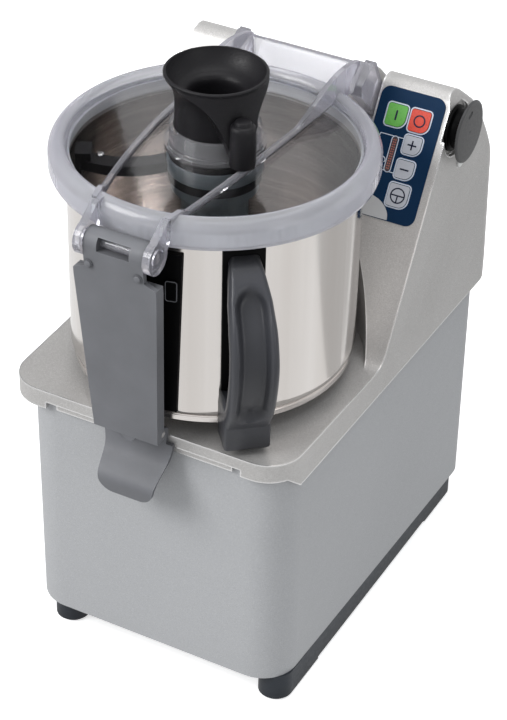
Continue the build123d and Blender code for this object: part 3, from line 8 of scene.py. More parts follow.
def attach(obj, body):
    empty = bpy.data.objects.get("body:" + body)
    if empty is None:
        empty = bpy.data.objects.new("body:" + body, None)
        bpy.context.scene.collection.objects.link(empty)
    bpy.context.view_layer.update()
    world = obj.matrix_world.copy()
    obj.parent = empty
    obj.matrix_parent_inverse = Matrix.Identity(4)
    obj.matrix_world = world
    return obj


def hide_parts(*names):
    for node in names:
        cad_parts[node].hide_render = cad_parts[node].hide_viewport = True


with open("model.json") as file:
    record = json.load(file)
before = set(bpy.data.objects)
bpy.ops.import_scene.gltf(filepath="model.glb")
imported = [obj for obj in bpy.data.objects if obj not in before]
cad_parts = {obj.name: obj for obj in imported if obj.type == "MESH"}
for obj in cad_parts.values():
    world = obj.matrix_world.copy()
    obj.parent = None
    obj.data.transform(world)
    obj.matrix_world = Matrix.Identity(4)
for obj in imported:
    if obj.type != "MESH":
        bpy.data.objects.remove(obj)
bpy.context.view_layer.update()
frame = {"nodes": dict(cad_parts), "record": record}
nodes = frame["nodes"]
body_of = {node: body for body, members in frame["record"]["behaviour"]["bodies"].items() for node in members}
slot_of = {part["node"]: part["material_slot"] for part in frame["record"]["subparts"]}

# The part's own measures. Points are written in mm from the deck's front edge, as at() takes them
CENTRE_X, CENTRE_Y, DECK = 0.0037506, 0.16175, 0.236
BOWL_Y = 109.0
BOWL = Vector((-CENTRE_X, BOWL_Y / 1000 - CENTRE_Y, 0))
SLOPE = atan(0.6)
COLUMN_FRONT = 156.0
PANEL_LEFT, PANEL_LOW = 62.0, 109.0
PANEL_WIDTH, PANEL_HEIGHT = 54.0, 101.0
PANEL_FACE = 0.6
KEY_TOP = 1.5
KEYS = {
    "start_key": (17.0, 80.0, 16.0, 17.0),
    "stop_key": (36.6, 80.0, 16.0, 17.0),
    "plus_key": (36.0, 60.8, 14.0, 14.0),
    "minus_key": (35.2, 41.4, 14.0, 14.0),
    "pulse_key": (35.6, 21.0, 16.5, 17.5),
}
BAR_X, BAR_LOW, BAR_HIGH, BAR_HALF = 21.2, 37.0, 64.0, 2.1
HINGE_Y, HINGE_RISE = 270.0, 155.0
CRANK_ANGLE, CRANK_REACH = radians(54.0), 46.0
PAD_ANGLE, PAD_REACH, PAD_RISE = radians(13.6), 113.4, 128.0
LATCH_PIN_X, LATCH_PIN_RISE, LATCH_FACE_Y = 20.0, 155.5, -36.3


def at(x, y, z):
    """A point in mm from the deck's front edge, in the scene's frame."""
    return Vector((x / 1000 - CENTRE_X, y / 1000 - CENTRE_Y, z / 1000 + DECK))


# Camera
def make_camera():
    azimuth, elevation, roll = radians(27.758), radians(35.101), radians(1.356)
    forward = Vector((-sin(azimuth) * cos(elevation), cos(azimuth) * cos(elevation), -sin(elevation)))
    level = Vector((cos(azimuth), sin(azimuth), 0))
    upright = level.cross(forward)
    right = level * cos(roll) + upright * sin(roll)
    up = upright * cos(roll) - level * sin(roll)
    data = bpy.data.cameras.new("camera")
    data.lens, data.sensor_width, data.sensor_fit = 117.08, 36.0, "AUTO"
    data.clip_start, data.clip_end = 0.05, 50
    camera = bpy.data.objects.new("camera", data)
    bpy.context.scene.collection.objects.link(camera)
    place = at(19.283, 140.029, -19.554) - forward * 1.84134
    turn = Matrix((right, up, -forward)).transposed().to_4x4()
    camera.matrix_world = Matrix.Translation(place) @ turn
    bpy.context.scene.camera = camera


# Materials
class Nodes:
    """A material's node tree with short names for what is used most."""

    def __init__(self, name):
        self.material = bpy.data.materials.new(name)
        self.material.use_nodes = True
        self.tree = self.material.node_tree
        self.shader = self.tree.nodes["Principled BSDF"]
        self.place = self.tree.nodes.new("ShaderNodeTexCoord").outputs["Object"]

    def add(self, kind, inputs=None, **props):
        node = self.tree.nodes.new(kind)
        for key, value in props.items():
            setattr(node, key, value)
        for key, value in (inputs or {}).items():
            self.put(node.inputs[key], value)
        return node

    def put(self, socket, value):
        if isinstance(value, bpy.types.NodeSocket):
            self.tree.links.new(value, socket)
        else:
            socket.default_value = value

    def set(self, **values):
        for key, value in values.items():
            self.put(self.shader.inputs[key.replace("_", " ")], value)

    def stretched(self, x, y, z):
        return self.add("ShaderNodeMapping", {"Vector": self.place, "Scale": (x, y, z)}).outputs["Vector"]

    def noise(self, scale, detail=4.0, rough=0.5, vector=None):
        node = self.add("ShaderNodeTexNoise", {"Vector": vector or self.place, "Scale": scale,
                                               "Detail": detail, "Roughness": rough})
        return node.outputs["Fac"]

    def grain(self, scale):
        """A random value for each small cell."""
        cells = self.add("ShaderNodeTexVoronoi", {"Vector": self.place, "Scale": scale}).outputs["Color"]
        return self.add("ShaderNodeSeparateColor", {"Color": cells}).outputs[0]

    def ramp(self, value, low, high, a, b):
        """Value from low..high mapped to a..b."""
        node = self.add("ShaderNodeMapRange", {"Value": value, "From Min": low, "From Max": high,
                                               "To Min": a, "To Max": b})
        return node.outputs["Result"]

    def math(self, operation, a, b=0.0):
        node = self.add("ShaderNodeMath", operation=operation)
        self.put(node.inputs[0], a)
        self.put(node.inputs[1], b)
        return node.outputs["Value"]

    def mix(self, factor, a, b):
        node = self.add("ShaderNodeMix", data_type="RGBA")
        self.put(node.inputs["Factor"], factor)
        self.put(node.inputs["A"], a if isinstance(a, bpy.types.NodeSocket) else (*a, 1))
        self.put(node.inputs["B"], b if isinstance(b, bpy.types.NodeSocket) else (*b, 1))
        return node.outputs["Result"]

    def bump(self, height, strength, distance):
        node = self.add("ShaderNodeBump", {"Height": height, "Strength": strength, "Distance": distance})
        self.put(self.shader.inputs["Normal"], node.outputs["Normal"])

    def distance(self, centre, axes):
        """How far a point lies from a line through centre; axes are the two directions across it."""
        moved = self.add("ShaderNodeVectorMath", {0: self.place, 1: tuple(centre)}, operation="SUBTRACT")
        parts = self.add("ShaderNodeSeparateXYZ", {"Vector": moved.outputs["Vector"]}).outputs
        a, b = (parts[i] for i in axes)
        squares = self.math("ADD", self.math("MULTIPLY", a, a), self.math("MULTIPLY", b, b))
        return self.math("SQRT", squares), parts[3 - sum(axes)]


def srgb(r, g, b):
    """Colour written as 0..255 screen values."""
    def line(v):
        v /= 255
        return v / 12.92 if v <= 0.04045 else ((v + 0.055) / 1.055) ** 2.4
    return (line(r), line(g), line(b))


def edge_mask(m, radius=0.0015, low=0.02, high=0.2):
    """1 along rounded edges, 0 on flats, from two differently rounded normals."""
    bevel = m.add("ShaderNodeBevel", {"Radius": radius}, samples=6)
    plain = m.add("ShaderNodeNewGeometry").outputs["Normal"]
    dot = m.add("ShaderNodeVectorMath", operation="DOT_PRODUCT")
    m.put(dot.inputs[0], bevel.outputs["Normal"])
    m.put(dot.inputs[1], plain)
    return m.ramp(m.math("SUBTRACT", 1.0, dot.outputs["Value"]), low, high, 0.0, 1.0)


def plastic(name, colour, rough=0.45, grain=900.0, depth=0.25, spread=0.12, edges=0.35, gloss_level=0.4,
            hollow_shade=0.5):
    """Moulded plastic with a fine grain; rounded edges painted a little lighter as a highlight, and hollows
    painted darker as shade.
    """
    m = Nodes(name)
    cloud = m.noise(18.0, 3.0)
    lighter = tuple(min(1, c * (1 + spread) + 0.002) for c in colour)
    darker = tuple(c * (1 - spread) for c in colour)
    # Painted highlight: rounded edges are turned towards this lighter colour.
    highlight_colour = tuple(min(1, c * 1.9 + 0.02) for c in colour)
    flat = m.mix(m.ramp(cloud, 0.3, 0.7, 0, 1), darker, lighter)
    edge_highlight = m.math("MULTIPLY", edge_mask(m, 0.0008, 0.01, 0.25), edges)
    # Painted shade: hollows and creases, found by ambient occlusion, are turned darker.
    open_share = m.add("ShaderNodeAmbientOcclusion", {"Distance": 0.02}, samples=6).outputs["AO"]
    shade = m.math("MULTIPLY", m.ramp(open_share, 0.5, 0.97, 1, 0), hollow_shade)
    m.set(Base_Color=m.mix(shade, m.mix(edge_highlight, flat, highlight_colour), tuple(c * 0.15 for c in colour)))
    m.set(Roughness=m.ramp(m.noise(grain * 0.4), 0.3, 0.7, rough - 0.05, rough + 0.06),
          Specular_IOR_Level=gloss_level)
    m.bump(m.noise(grain, 2.0), depth, 0.0003)
    return m.material


def metal(name, colour, rough=0.3, grain=1200.0, depth=0.1, stretch=(1, 1, 1), spread=0.1, metallic=1.0):
    m = Nodes(name)
    fine = m.noise(grain, 3.0, 0.6, m.stretched(*stretch))
    lighter = tuple(min(1, c * (1 + spread)) for c in colour)
    darker = tuple(c * (1 - spread) for c in colour)
    m.set(Base_Color=m.mix(m.ramp(fine, 0.3, 0.7, 0, 1), darker, lighter), Metallic=metallic)
    m.set(Roughness=m.ramp(fine, 0.25, 0.75, rough - 0.07, rough + 0.07))
    m.bump(fine, depth, 0.0002)
    return m.material


def cast_metal():
    """Bead-blasted light alloy: fine pitting, soft clouds, and edges painted near white as a highlight, also
    more metallic and less rough.
    """
    m = Nodes("cast_alloy")
    fine = m.grain(2300.0)
    cloud = m.ramp(m.noise(9.0, 4.0), 0.3, 0.7, 0, 1)
    blotch = m.mix(cloud, srgb(186, 184, 182), srgb(198, 196, 194))
    pitted = m.mix(m.ramp(fine, 0.0, 0.35, 0.4, 0), blotch, srgb(152, 150, 148))
    pitted = m.mix(m.ramp(fine, 0.75, 1.0, 0, 0.45), pitted, srgb(232, 231, 230))
    # Painted highlight: rounded edges turn near white; the same mask also makes them shinier.
    edges = edge_mask(m, 0.003)
    m.set(Base_Color=m.mix(edges, pitted, srgb(244, 244, 244)))
    m.set(Metallic=m.ramp(edges, 0, 1, 0.4, 0.9), Roughness=m.ramp(edges, 0, 1, 0.42, 0.2))
    m.bump(m.math("ADD", fine, m.math("MULTIPLY", m.noise(600.0, 3.0), 0.5)), 0.12, 0.0002)
    return m.material


def body_paint():
    """Silver-grey paint with a very fine light and dark speckle."""
    m = Nodes("body_paint")
    cloud = m.ramp(m.noise(5.0, 3.0), 0.3, 0.7, 0, 1)
    value = m.grain(2400.0)
    base = m.mix(cloud, srgb(184, 185, 187), srgb(189, 190, 192))
    dark = m.mix(m.ramp(value, 0.0, 0.3, 0.4, 0), base, srgb(156, 157, 159))
    m.set(Base_Color=m.mix(m.ramp(value, 0.8, 1.0, 0, 0.5), dark, srgb(214, 215, 216)))
    m.set(Metallic=0.1, Roughness=m.ramp(value, 0, 1, 0.46, 0.56), Specular_IOR_Level=0.3)
    m.bump(m.noise(2000.0, 2.0), 0.1, 0.0002)
    return m.material


def bowl_steel():
    """Polished outside with faint upright brushing; inside, turned lines run round the axis."""
    m = Nodes("bowl_steel")
    radius, height = m.distance(BOWL, (0, 1))
    inside = m.ramp(radius, 0.1080, 0.1082, 1, 0)
    upright = m.noise(40.0, 3.0, 0.5, m.stretched(1, 1, 0.02))
    spots = m.noise(22.0, 5.0, 0.6)
    both = m.add("ShaderNodeCombineXYZ", {"X": radius, "Y": height, "Z": 0.0}).outputs[0]
    turned = m.noise(700.0, 4.0, 0.7, both)
    wide = m.noise(110.0, 2.0, 0.5, both)
    outer = m.mix(m.ramp(upright, 0.3, 0.7, 0, 1), srgb(212, 207, 203), srgb(224, 220, 217))
    lines = m.math("ADD", m.math("MULTIPLY", turned, 0.6), m.math("MULTIPLY", wide, 0.4))
    inner = m.mix(m.ramp(lines, 0.38, 0.62, 0, 1), srgb(184, 176, 171), srgb(236, 232, 229))
    m.set(Base_Color=m.mix(inside, outer, inner), Metallic=1.0)
    polished = m.ramp(spots, 0.35, 0.75, 0.12, 0.19)
    brushed = m.ramp(turned, 0.3, 0.7, 0.15, 0.27)
    m.set(Roughness=m.math("ADD", m.math("MULTIPLY", polished, m.math("SUBTRACT", 1.0, inside)),
                           m.math("MULTIPLY", brushed, inside)))
    m.bump(m.math("MULTIPLY", turned, inside), 0.12, 0.0002)
    return m.material


def lid_plastic():
    """Clear polycarbonate, violet where it turns away, and hazy white in the rolled rim."""
    m = Nodes("clear_polycarbonate")
    radius, height = m.distance(BOWL, (0, 1))
    rim = m.math("MULTIPLY", m.ramp(radius, 0.1085, 0.1105, 0, 1), m.ramp(radius, 0.1226, 0.1232, 1, 0))
    window = m.math("MULTIPLY", m.ramp(radius, 0.1078, 0.1084, 1, 0),
                    m.ramp(height, DECK + 0.1864, DECK + 0.1868, 1, 0))
    collar = m.math("MULTIPLY", m.ramp(radius, 0.0376, 0.0380, 1, 0), 0.5)
    thick = m.math("SUBTRACT", m.math("SUBTRACT", 1.0, m.math("MAXIMUM", window, collar)),
                   m.math("MULTIPLY", rim, 0.1))
    facing = m.add("ShaderNodeLayerWeight", {"Blend": 0.3}).outputs["Facing"]
    clear = m.mix(m.ramp(facing, 0.25, 1.0, 0, 1), (0.985, 0.985, 0.992), srgb(214, 204, 226))
    milk = m.mix(m.ramp(facing, 0.2, 0.9, 0, 1), srgb(222, 222, 228), srgb(206, 200, 217))
    m.set(Base_Color=m.mix(thick, clear, milk), IOR=1.4)
    solid = m.math("MULTIPLY", rim, 0.16)
    m.set(Transmission_Weight=m.math("SUBTRACT", m.ramp(thick, 0, 1, 1.0, 0.76), solid))
    haze = m.ramp(m.noise(60.0), 0.3, 0.7, 0.0, 0.03)
    m.set(Roughness=m.math("ADD", m.ramp(rim, 0, 1, 0.02, 0.1), haze))
    m.bump(m.noise(35.0, 2.0), 0.03, 0.0006)
    return m.material


def milky():
    m = Nodes("milky_seal")
    m.set(Base_Color=m.mix(m.noise(30.0), srgb(226, 230, 235), srgb(240, 243, 246)), Roughness=0.4,
          Subsurface_Weight=0.2, Subsurface_Radius=(0.01, 0.01, 0.01))
    m.bump(m.noise(700.0, 2.0), 0.1, 0.0002)
    return m.material


def frosted():
    m = Nodes("frosted_ring")
    m.set(Base_Color=m.mix(m.noise(20.0), srgb(104, 116, 122), srgb(124, 136, 142)), Roughness=0.42,
          Transmission_Weight=0.25, Subsurface_Weight=0.2, Subsurface_Radius=(0.008, 0.008, 0.008))
    m.bump(m.noise(600.0, 2.0), 0.15, 0.0002)
    return m.material


def disc_plastic():
    """The hinge knob's disc: faint turned rings, and a small spot painted dark at its middle as the shade of
    a dimple that is not modelled.
    """
    m = Nodes("disc_plastic")
    radius, _ = m.distance(at(0, HINGE_Y, HINGE_RISE), (1, 2))
    rings = m.noise(320.0, 2.0, 0.5, m.add("ShaderNodeCombineXYZ", {"X": radius}).outputs[0])
    flat = m.mix(m.ramp(rings, 0.35, 0.65, 0, 1), srgb(58, 58, 59), srgb(68, 68, 69))
    # Painted shade: a near-black spot at the middle stands for the shade in a small dimple.
    m.set(Base_Color=m.mix(m.ramp(radius, 0.0009, 0.0013, 1, 0), flat, srgb(14, 14, 14)))
    m.set(Roughness=m.ramp(m.noise(500.0), 0.3, 0.7, 0.36, 0.46))
    m.bump(m.math("ADD", rings, m.noise(1000.0, 2.0)), 0.08, 0.0002)
    return m.material


def gloss(name, colour, rough=0.29, coat=0.2, shine=0.25):
    """Smooth printed foil or a key's cap."""
    m = Nodes(name)
    m.set(Base_Color=m.mix(m.noise(90.0), tuple(c * 0.93 for c in colour),
                           tuple(min(1, c * 1.07) for c in colour)),
          Roughness=m.ramp(m.noise(500.0), 0.3, 0.7, rough - 0.05, rough + 0.05), Coat_Weight=coat,
          Specular_IOR_Level=shine)
    m.bump(m.noise(500.0, 2.0), 0.08, 0.0002)
    return m.material


def make_materials():
    return {
        "cast": cast_metal(),
        "paint": body_paint(),
        "bowl": bowl_steel(),
        "clear": lid_plastic(),
        "milky": milky(),
        "frosted": frosted(),
        "disc": disc_plastic(),
        # The slate plastic gets strong painted shade in its hollows, which darkens the handle's groove.
        "slate": plastic("slate_plastic", srgb(62, 63, 68), 0.36, 1000, 0.12, gloss_level=0.35, hollow_shade=0.9),
        "rail": plastic("rail_plastic", srgb(56, 60, 66), 0.5, 800, 0.3, gloss_level=0.2),
        "latch": plastic("latch_plastic", srgb(116, 117, 121), 0.5, 1100, 0.2, gloss_level=0.3),
        "black": plastic("black_plastic", srgb(26, 25, 28), 0.42, 900, 0.6, gloss_level=0.22),
        # Black plastic made darker still as painted shade: these parts sit in shaded gaps behind the handle
        # and the knob's disc, and the strip on the bowl's front is a painted dark reflection of the shaded
        # latch plate.
        "bracket": plastic("near_black_painted_shade", srgb(8, 8, 9), 0.4, 900, 0.15, edges=0.15, gloss_level=0.05),
        "rubber": plastic("black_rubber", srgb(26, 26, 27), 0.7, 600, 0.4),
        "white": plastic("white_plastic", srgb(238, 238, 236), 0.4, 900, 0.15),
        "steel": metal("turned_steel", srgb(200, 200, 200), 0.22, 900, 0.1, (1, 1, 12)),
        "blade": metal("ground_steel", srgb(196, 197, 198), 0.25, 700, 0.15, (6, 1, 1)),
        "dark_steel": metal("blackened_steel", srgb(96, 97, 99), 0.4, 900, 0.2),
        "iron": metal("machined_iron", srgb(110, 111, 113), 0.42, 700, 0.25, (1, 1, 30)),
        "bronze": metal("sintered_bronze", srgb(170, 126, 70), 0.45, 1500, 0.25),
        "copper": metal("enamelled_copper", srgb(170, 92, 48), 0.35, 260, 0.6, (1, 1, 14), 0.25),
        "board": plastic("board_laminate", srgb(28, 92, 48), 0.35, 500, 0.15),
        "panel": gloss("navy_foil", srgb(20, 48, 78), 0.4, 0.0, 0.06),
        "green": gloss("green_key", srgb(108, 184, 84)),
        "red": gloss("red_key", srgb(222, 76, 58)),
        "key": gloss("grey_key", srgb(196, 199, 207)),
        "light": gloss("light_bar", srgb(84, 72, 74)),
        "dot": gloss("light_dot", srgb(186, 112, 100)),
        "print": gloss("white_print", srgb(214, 222, 236), 0.45, 0.0),
        "ink": gloss("dark_print", srgb(26, 32, 56), 0.45, 0.0),
        "oval": gloss("bare_oval", srgb(196, 197, 198), 0.45, 0.0),
    }


WEARS = {
    "top_cover": "cast", "body_housing": "paint", "base_plate": "dark_steel", "foot_rails": "rail",
    "foot_pads": "rubber", "base_screws": "steel", "vent_grille": "rail", "cable_gland": "black",
    # The handle's back plate, the bowl's front bracket and the magnet pad wear the near-black material that
    # carries painted shade.
    "bowl": "bowl", "bowl_handle": "slate", "handle_plate": "bracket", "bowl_guide_bracket": "bracket",
    "magnet_pad": "bracket", "handle_rivets": "steel", "bracket_rivets": "steel", "motor_housing": "cast",
    "lower_end_shield": "cast", "upper_end_shield": "cast", "motor_tie_bolts": "steel",
    "motor_feet": "rubber",
    "stator_core": "iron", "stator_windings": "copper", "lower_bearing": "steel", "upper_bearing": "steel",
    "shaft_seal": "rubber", "left_hinge_bush": "bronze", "right_hinge_bush": "bronze",
    "control_panel": "panel",
    "light_bar": "light", "key_switches": "white", "control_board": "board", "drive_inverter": "dark_steel",
    "side_plug": "white", "lid_switch": "black", "hinge_knob_base": "black", "rotor_core": "iron",
    "drive_spindle": "steel", "blade_hub": "black", "lower_blade": "blade", "upper_blade": "blade",
    "blade_clamp_knob": "black", "lid": "clear", "lid_seal": "milky", "latch_pin": "clear",
    "latch_plate": "latch", "tongue_pin": "steel", "tongue_lever": "latch", "feed_funnel": "black",
    "scraper_hub": "black", "scraper_flange": "frosted", "scraper_arm": "black", "wiper_blade": "black",
    "wiper_rivet": "steel", "hinge_rod": "steel", "hinge_knob_disc": "disc", "start_key": "green",
    "stop_key": "red", "plus_key": "key", "minus_key": "key", "pulse_key": "key",
}


def dress():
    for name, kind in WEARS.items():
        mesh = nodes[name].data
        if not mesh.materials:
            mesh.materials.append(made[kind])
        for i in range(len(mesh.materials)):
            mesh.materials[i] = made[kind]


# Mesh pieces
class Shape:
    """Closed solids gathered into one mesh."""

    def __init__(self):
        self.verts = []
        self.faces = []

    def skin(self, rings, closed=False):
        """Joins rings of as many points each; the end rings get caps unless the last joins the first."""
        start, count = len(self.verts), len(rings[0])
        for ring in rings:
            self.verts += ring
        for a in range(len(rings) if closed else len(rings) - 1):
            b = (a + 1) % len(rings)
            for i in range(count):
                j = (i + 1) % count
                corners = (a * count + i, a * count + j, b * count + j, b * count + i)
                self.faces.append(tuple(start + k for k in corners))
        if not closed:
            last = start + (len(rings) - 1) * count
            self.faces.append(tuple(start + i for i in reversed(range(count))))
            self.faces.append(tuple(last + i for i in range(count)))
        return self

    def prism(self, outline, place, low, high):
        return self.skin([[place(x, y, level) for x, y in outline] for level in (low, high)])

    def band(self, outer, inner, place, low, high):
        rings = ((outer, low), (outer, high), (inner, high), (inner, low))
        return self.skin([[place(x, y, level) for x, y in line] for line, level in rings], closed=True)

    def lathe(self, profile, x, y, steps=96):
        """A (radius, z) outline turned about an upright line through x, y."""
        turns = [2 * pi * i / steps for i in range(steps)]
        return self.skin([[(x + r * cos(t), y + r * sin(t), z) for r, z in profile] for t in turns],
                         closed=True)

    def thing(self, name):
        mesh = bpy.data.meshes.new(name)
        mesh.from_pydata([at(*v) for v in self.verts], [], self.faces)
        tidy_mesh(mesh)
        thing = bpy.data.objects.new(name, mesh)
        bpy.context.scene.collection.objects.link(thing)
        return thing

    def piece(self, name, kind, body, slot, smooth=35.0):
        return settle(self.thing(name), kind, body, smooth)


def tidy_mesh(mesh):
    bm = bmesh.new()
    bm.from_mesh(mesh)
    bmesh.ops.remove_doubles(bm, verts=bm.verts, dist=1e-6)
    bmesh.ops.recalc_face_normals(bm, faces=bm.faces)
    bm.to_mesh(mesh)
    bm.free()


def settle(thing, kind, body, smooth=35.0):
    """Gives a piece its material, smooth faces between sharp edges, and the body that it rides on."""
    mesh = thing.data
    mesh.polygons.foreach_set("use_smooth", [True] * len(mesh.polygons))
    mesh.set_sharp_from_angle(angle=radians(smooth))
    mesh.materials.clear()
    mesh.materials.append(made[kind])
    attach(thing, body)
    return thing


def combined(base, tool, operation):
    """One thing after a boolean with another, which is used up."""
    cut = base.modifiers.new(operation, "BOOLEAN")
    cut.operation, cut.solver, cut.object = operation, "EXACT", tool
    graph = bpy.context.evaluated_depsgraph_get()
    mesh = bpy.data.meshes.new_from_object(base.evaluated_get(graph))
    base.modifiers.clear()
    base.data = mesh
    bpy.data.objects.remove(tool)
    return base


def arc(x, y, radius, start, stop, count=8):
    turns = [start + (stop - start) * i / (count - 1) for i in range(count)]
    return [(x + radius * cos(t), y + radius * sin(t)) for t in turns]


def circle(x, y, radius, count=40):
    return [(x + radius * cos(2 * pi * i / count), y + radius * sin(2 * pi * i / count))
            for i in range(count)]


def bar(x0, y0, x1, y1, width):
    """The outline of a short line with round ends."""
    along = Vector((x1 - x0, y1 - y0)).to_2d()
    turn = -Vector((1, 0)).angle_signed(along)
    half = width / 2
    return (arc(x1, y1, half, turn - pi / 2, turn + pi / 2, 6)
            + arc(x0, y0, half, turn + pi / 2, turn + 1.5 * pi, 6))


# Scraper funnel with its crank web and knob
FUNNEL_OUTSIDE = [(0, 170), (30.5, 170), (30.5, 204), (30.1, 214), (30.0, 220), (30.3, 226), (31.3, 231.5),
                  (33.2, 236.2), (35.6, 240.2), (37.8, 243.0), (38.35, 244.2), (38.3, 245.3), (37.7, 245.9),
                  (36.9, 246.0), (0, 246)]
FUNNEL_INSIDE = [(0, 252), (36.7, 252), (36.3, 246), (35.9, 244.8), (34.6, 241.6), (32.6, 238.2),
                 (30.2, 235.3),
                 (28.0, 233.2), (26.4, 232.2), (24.6, 231.7), (22.4, 231.0), (20.8, 229.7), (19.6, 227.4),
                 (19.0, 224.0), (19.0, 160), (0, 160)]
KNOB_SIDE = [(0, 191.5), (8.2, 191.5), (9.3, 192.2), (9.8, 193.6), (9.4, 221.4), (9.1, 223.2), (8.2, 224.4),
             (7.0, 224.9), (6.3, 225.2), (6.1, 226.8), (5.5, 227.9), (4.4, 228.3), (0, 228.4)]
# The web at each height: height, half its width, how far out its face is, how far out its back is
WEB_LEVELS = [(196.0, 6.5, 43.6, 38.5), (198.0, 7.8, 44.2, 37.0), (201.0, 8.6, 44.3, 35.8),
              (204.2, 9.4, 44.0, 35.6),
              (208.0, 10.5, 43.4, 29.0), (212.0, 11.8, 42.6, 29.0), (217.0, 13.6, 41.6, 29.0),
              (222.0, 15.8, 40.5, 29.0), (227.0, 18.6, 39.5, 29.0), (231.0, 21.6, 38.9, 29.0),
              (235.0, 25.6, 38.5, 29.0), (238.0, 29.4, 38.3, 29.0), (240.5, 33.0, 38.2, 29.0),
              (242.4, 35.8, 38.15, 29.0), (243.8, 37.2, 38.1, 29.0)]


def around_bowl(angle, reach, across, z):
    """A point beside the line from the bowl's axis at an angle from the front, across to its right."""
    return (reach * sin(angle) + across * cos(angle), BOWL_Y - reach * cos(angle) + across * sin(angle), z)


def web_ring(z, half, face, back):
    rim = 38.4
    shares = [i / 8 - 1 for i in range(17)]
    front, rear = [], []
    for share in shares:
        across = share * half
        out = face - rim + sqrt(rim ** 2 - across ** 2)
        inner = back if back > 30 else sqrt(max(back ** 2 - across ** 2, 0.0))
        front.append(around_bowl(CRANK_ANGLE, out, across, z))
        rear.append(around_bowl(CRANK_ANGLE, min(inner, max(out - 3.0, 1.0)), across, z))
    return front + rear[::-1]


def make_funnel():
    x, y, _ = around_bowl(CRANK_ANGLE, CRANK_REACH, 0, 0)
    funnel = Shape().lathe(FUNNEL_OUTSIDE, 0, BOWL_Y).thing("drive_funnel")
    web = Shape().skin([web_ring(*level) for level in WEB_LEVELS]).thing("web")
    knob = Shape().lathe(KNOB_SIDE, x, y, 48).thing("knob")
    inside = Shape().lathe(FUNNEL_INSIDE, 0, BOWL_Y).thing("inside")
    funnel = combined(funnel, web, "UNION")
    funnel = combined(funnel, knob, "UNION")
    funnel = combined(funnel, inside, "DIFFERENCE")
    settle(funnel, "black", body_of["feed_funnel"], 30.0)
    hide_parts("feed_funnel")


# Frosted ring round the scraper's hub
def make_hub_ring():
    side = [(34.2, 164.9), (35.0, 164.5), (35.5, 164.9), (35.7, 165.6), (35.7, 175.4),
            (35.4, 176.2), (34.9, 176.6), (34.2, 176.6)]
    Shape().lathe(side, 0, BOWL_Y).piece("hub_ring", "frosted", "scraper", slot_of["scraper_flange"])


# Bowl handle
HANDLE_ANGLE = radians(40.0)
BOWL_RADIUS = 109.4
# The grip's outer line: how far outside the bowl, and height
GRIP_LINE = [(26.0, 26.0), (41.0, 50.0), (50.4, 85.0), (46.0, 113.0), (29.0, 138.0),
             (13.5, 152.5), (1.5, 159.5)]
GRIP_HALF = [(6.0, 17.2), (50.0, 17.5), (93.0, 17.5), (120.0, 17.0), (138.0, 15.6),
             (152.0, 13.0), (161.0, 10.8)]
GRIP_DEPTH = [(6.0, 12.0), (100.0, 12.0), (138.0, 13.5), (161.0, 17.0)]
GROOVE_LOW, GROOVE_HIGH, GROOVE_HALF, GROOVE_DEPTH = 36.0, 146.0, 12.4, 7.2


def between(table, value):
    """A value read from a table of pairs, in straight steps."""
    for (a, fa), (b, fb) in zip(table, table[1:]):
        if value <= b:
            return fa + (fb - fa) * max(0.0, (value - a)) / (b - a)
    return table[-1][1]


def smooth(t):
    t = min(1.0, max(0.0, t))
    return t * t * (3 - 2 * t)


def curve_points(points, count):
    """Points along a smooth curve through some points, with the direction at each."""
    found = []
    padded = [points[0]] + points + [points[-1]]
    for i in range(len(points) - 1):
        p0, p1, p2, p3 = (Vector(p) for p in padded[i:i + 4])
        for k in range(count):
            t = k / count
            found.append(0.5 * ((2 * p1) + (p2 - p0) * t + (2 * p0 - 5 * p1 + 4 * p2 - p3) * t ** 2
                                + (3 * p1 - p0 - 3 * p2 + p3) * t ** 3))
    found.append(Vector(points[-1]))
    ways = [(found[min(i + 1, len(found) - 1)] - found[max(i - 1, 0)]).normalized()
            for i in range(len(found))]
    return list(zip(found, ways))


def grip_ring(spot, way):
    """One section of the grip: a rounded bar whose outer face holds the groove."""
    half, depth = between(GRIP_HALF, spot.y), between(GRIP_DEPTH, spot.y)
    shares = [i / 14 - 1 for i in range(29)]
    middle, reach = (GROOVE_LOW + GROOVE_HIGH) / 2, (GROOVE_HIGH - GROOVE_LOW) / 2 - GROOVE_HALF
    face = []
    for share in shares:
        across = share * half
        fall = 4.2 * (1 - sqrt(max(0.0, 1 - max(0.0, (abs(across) - half + 4.2) / 4.2) ** 2)))
        beyond = max(0.0, abs(spot.y - middle) - reach)
        inward = GROOVE_HALF - sqrt(across ** 2 + beyond ** 2)
        face.append((across, -max(fall, GROOVE_DEPTH * smooth((inward + 0.6) / 6.2))))
    back = [(half, -depth + 2.0), (half - 0.6, -depth + 0.6), (half - 2.0, -depth), (0.0, -depth - 0.6),
            (2.0 - half, -depth), (0.6 - half, -depth + 0.6), (-half, -depth + 2.0)]
    out = Vector((way.y, -way.x))
    ring = []
    for across, level in face + back:
        place = spot + out * level
        ring.append(around_bowl(HANDLE_ANGLE, BOWL_RADIUS + place.x, across, place.y))
    return ring


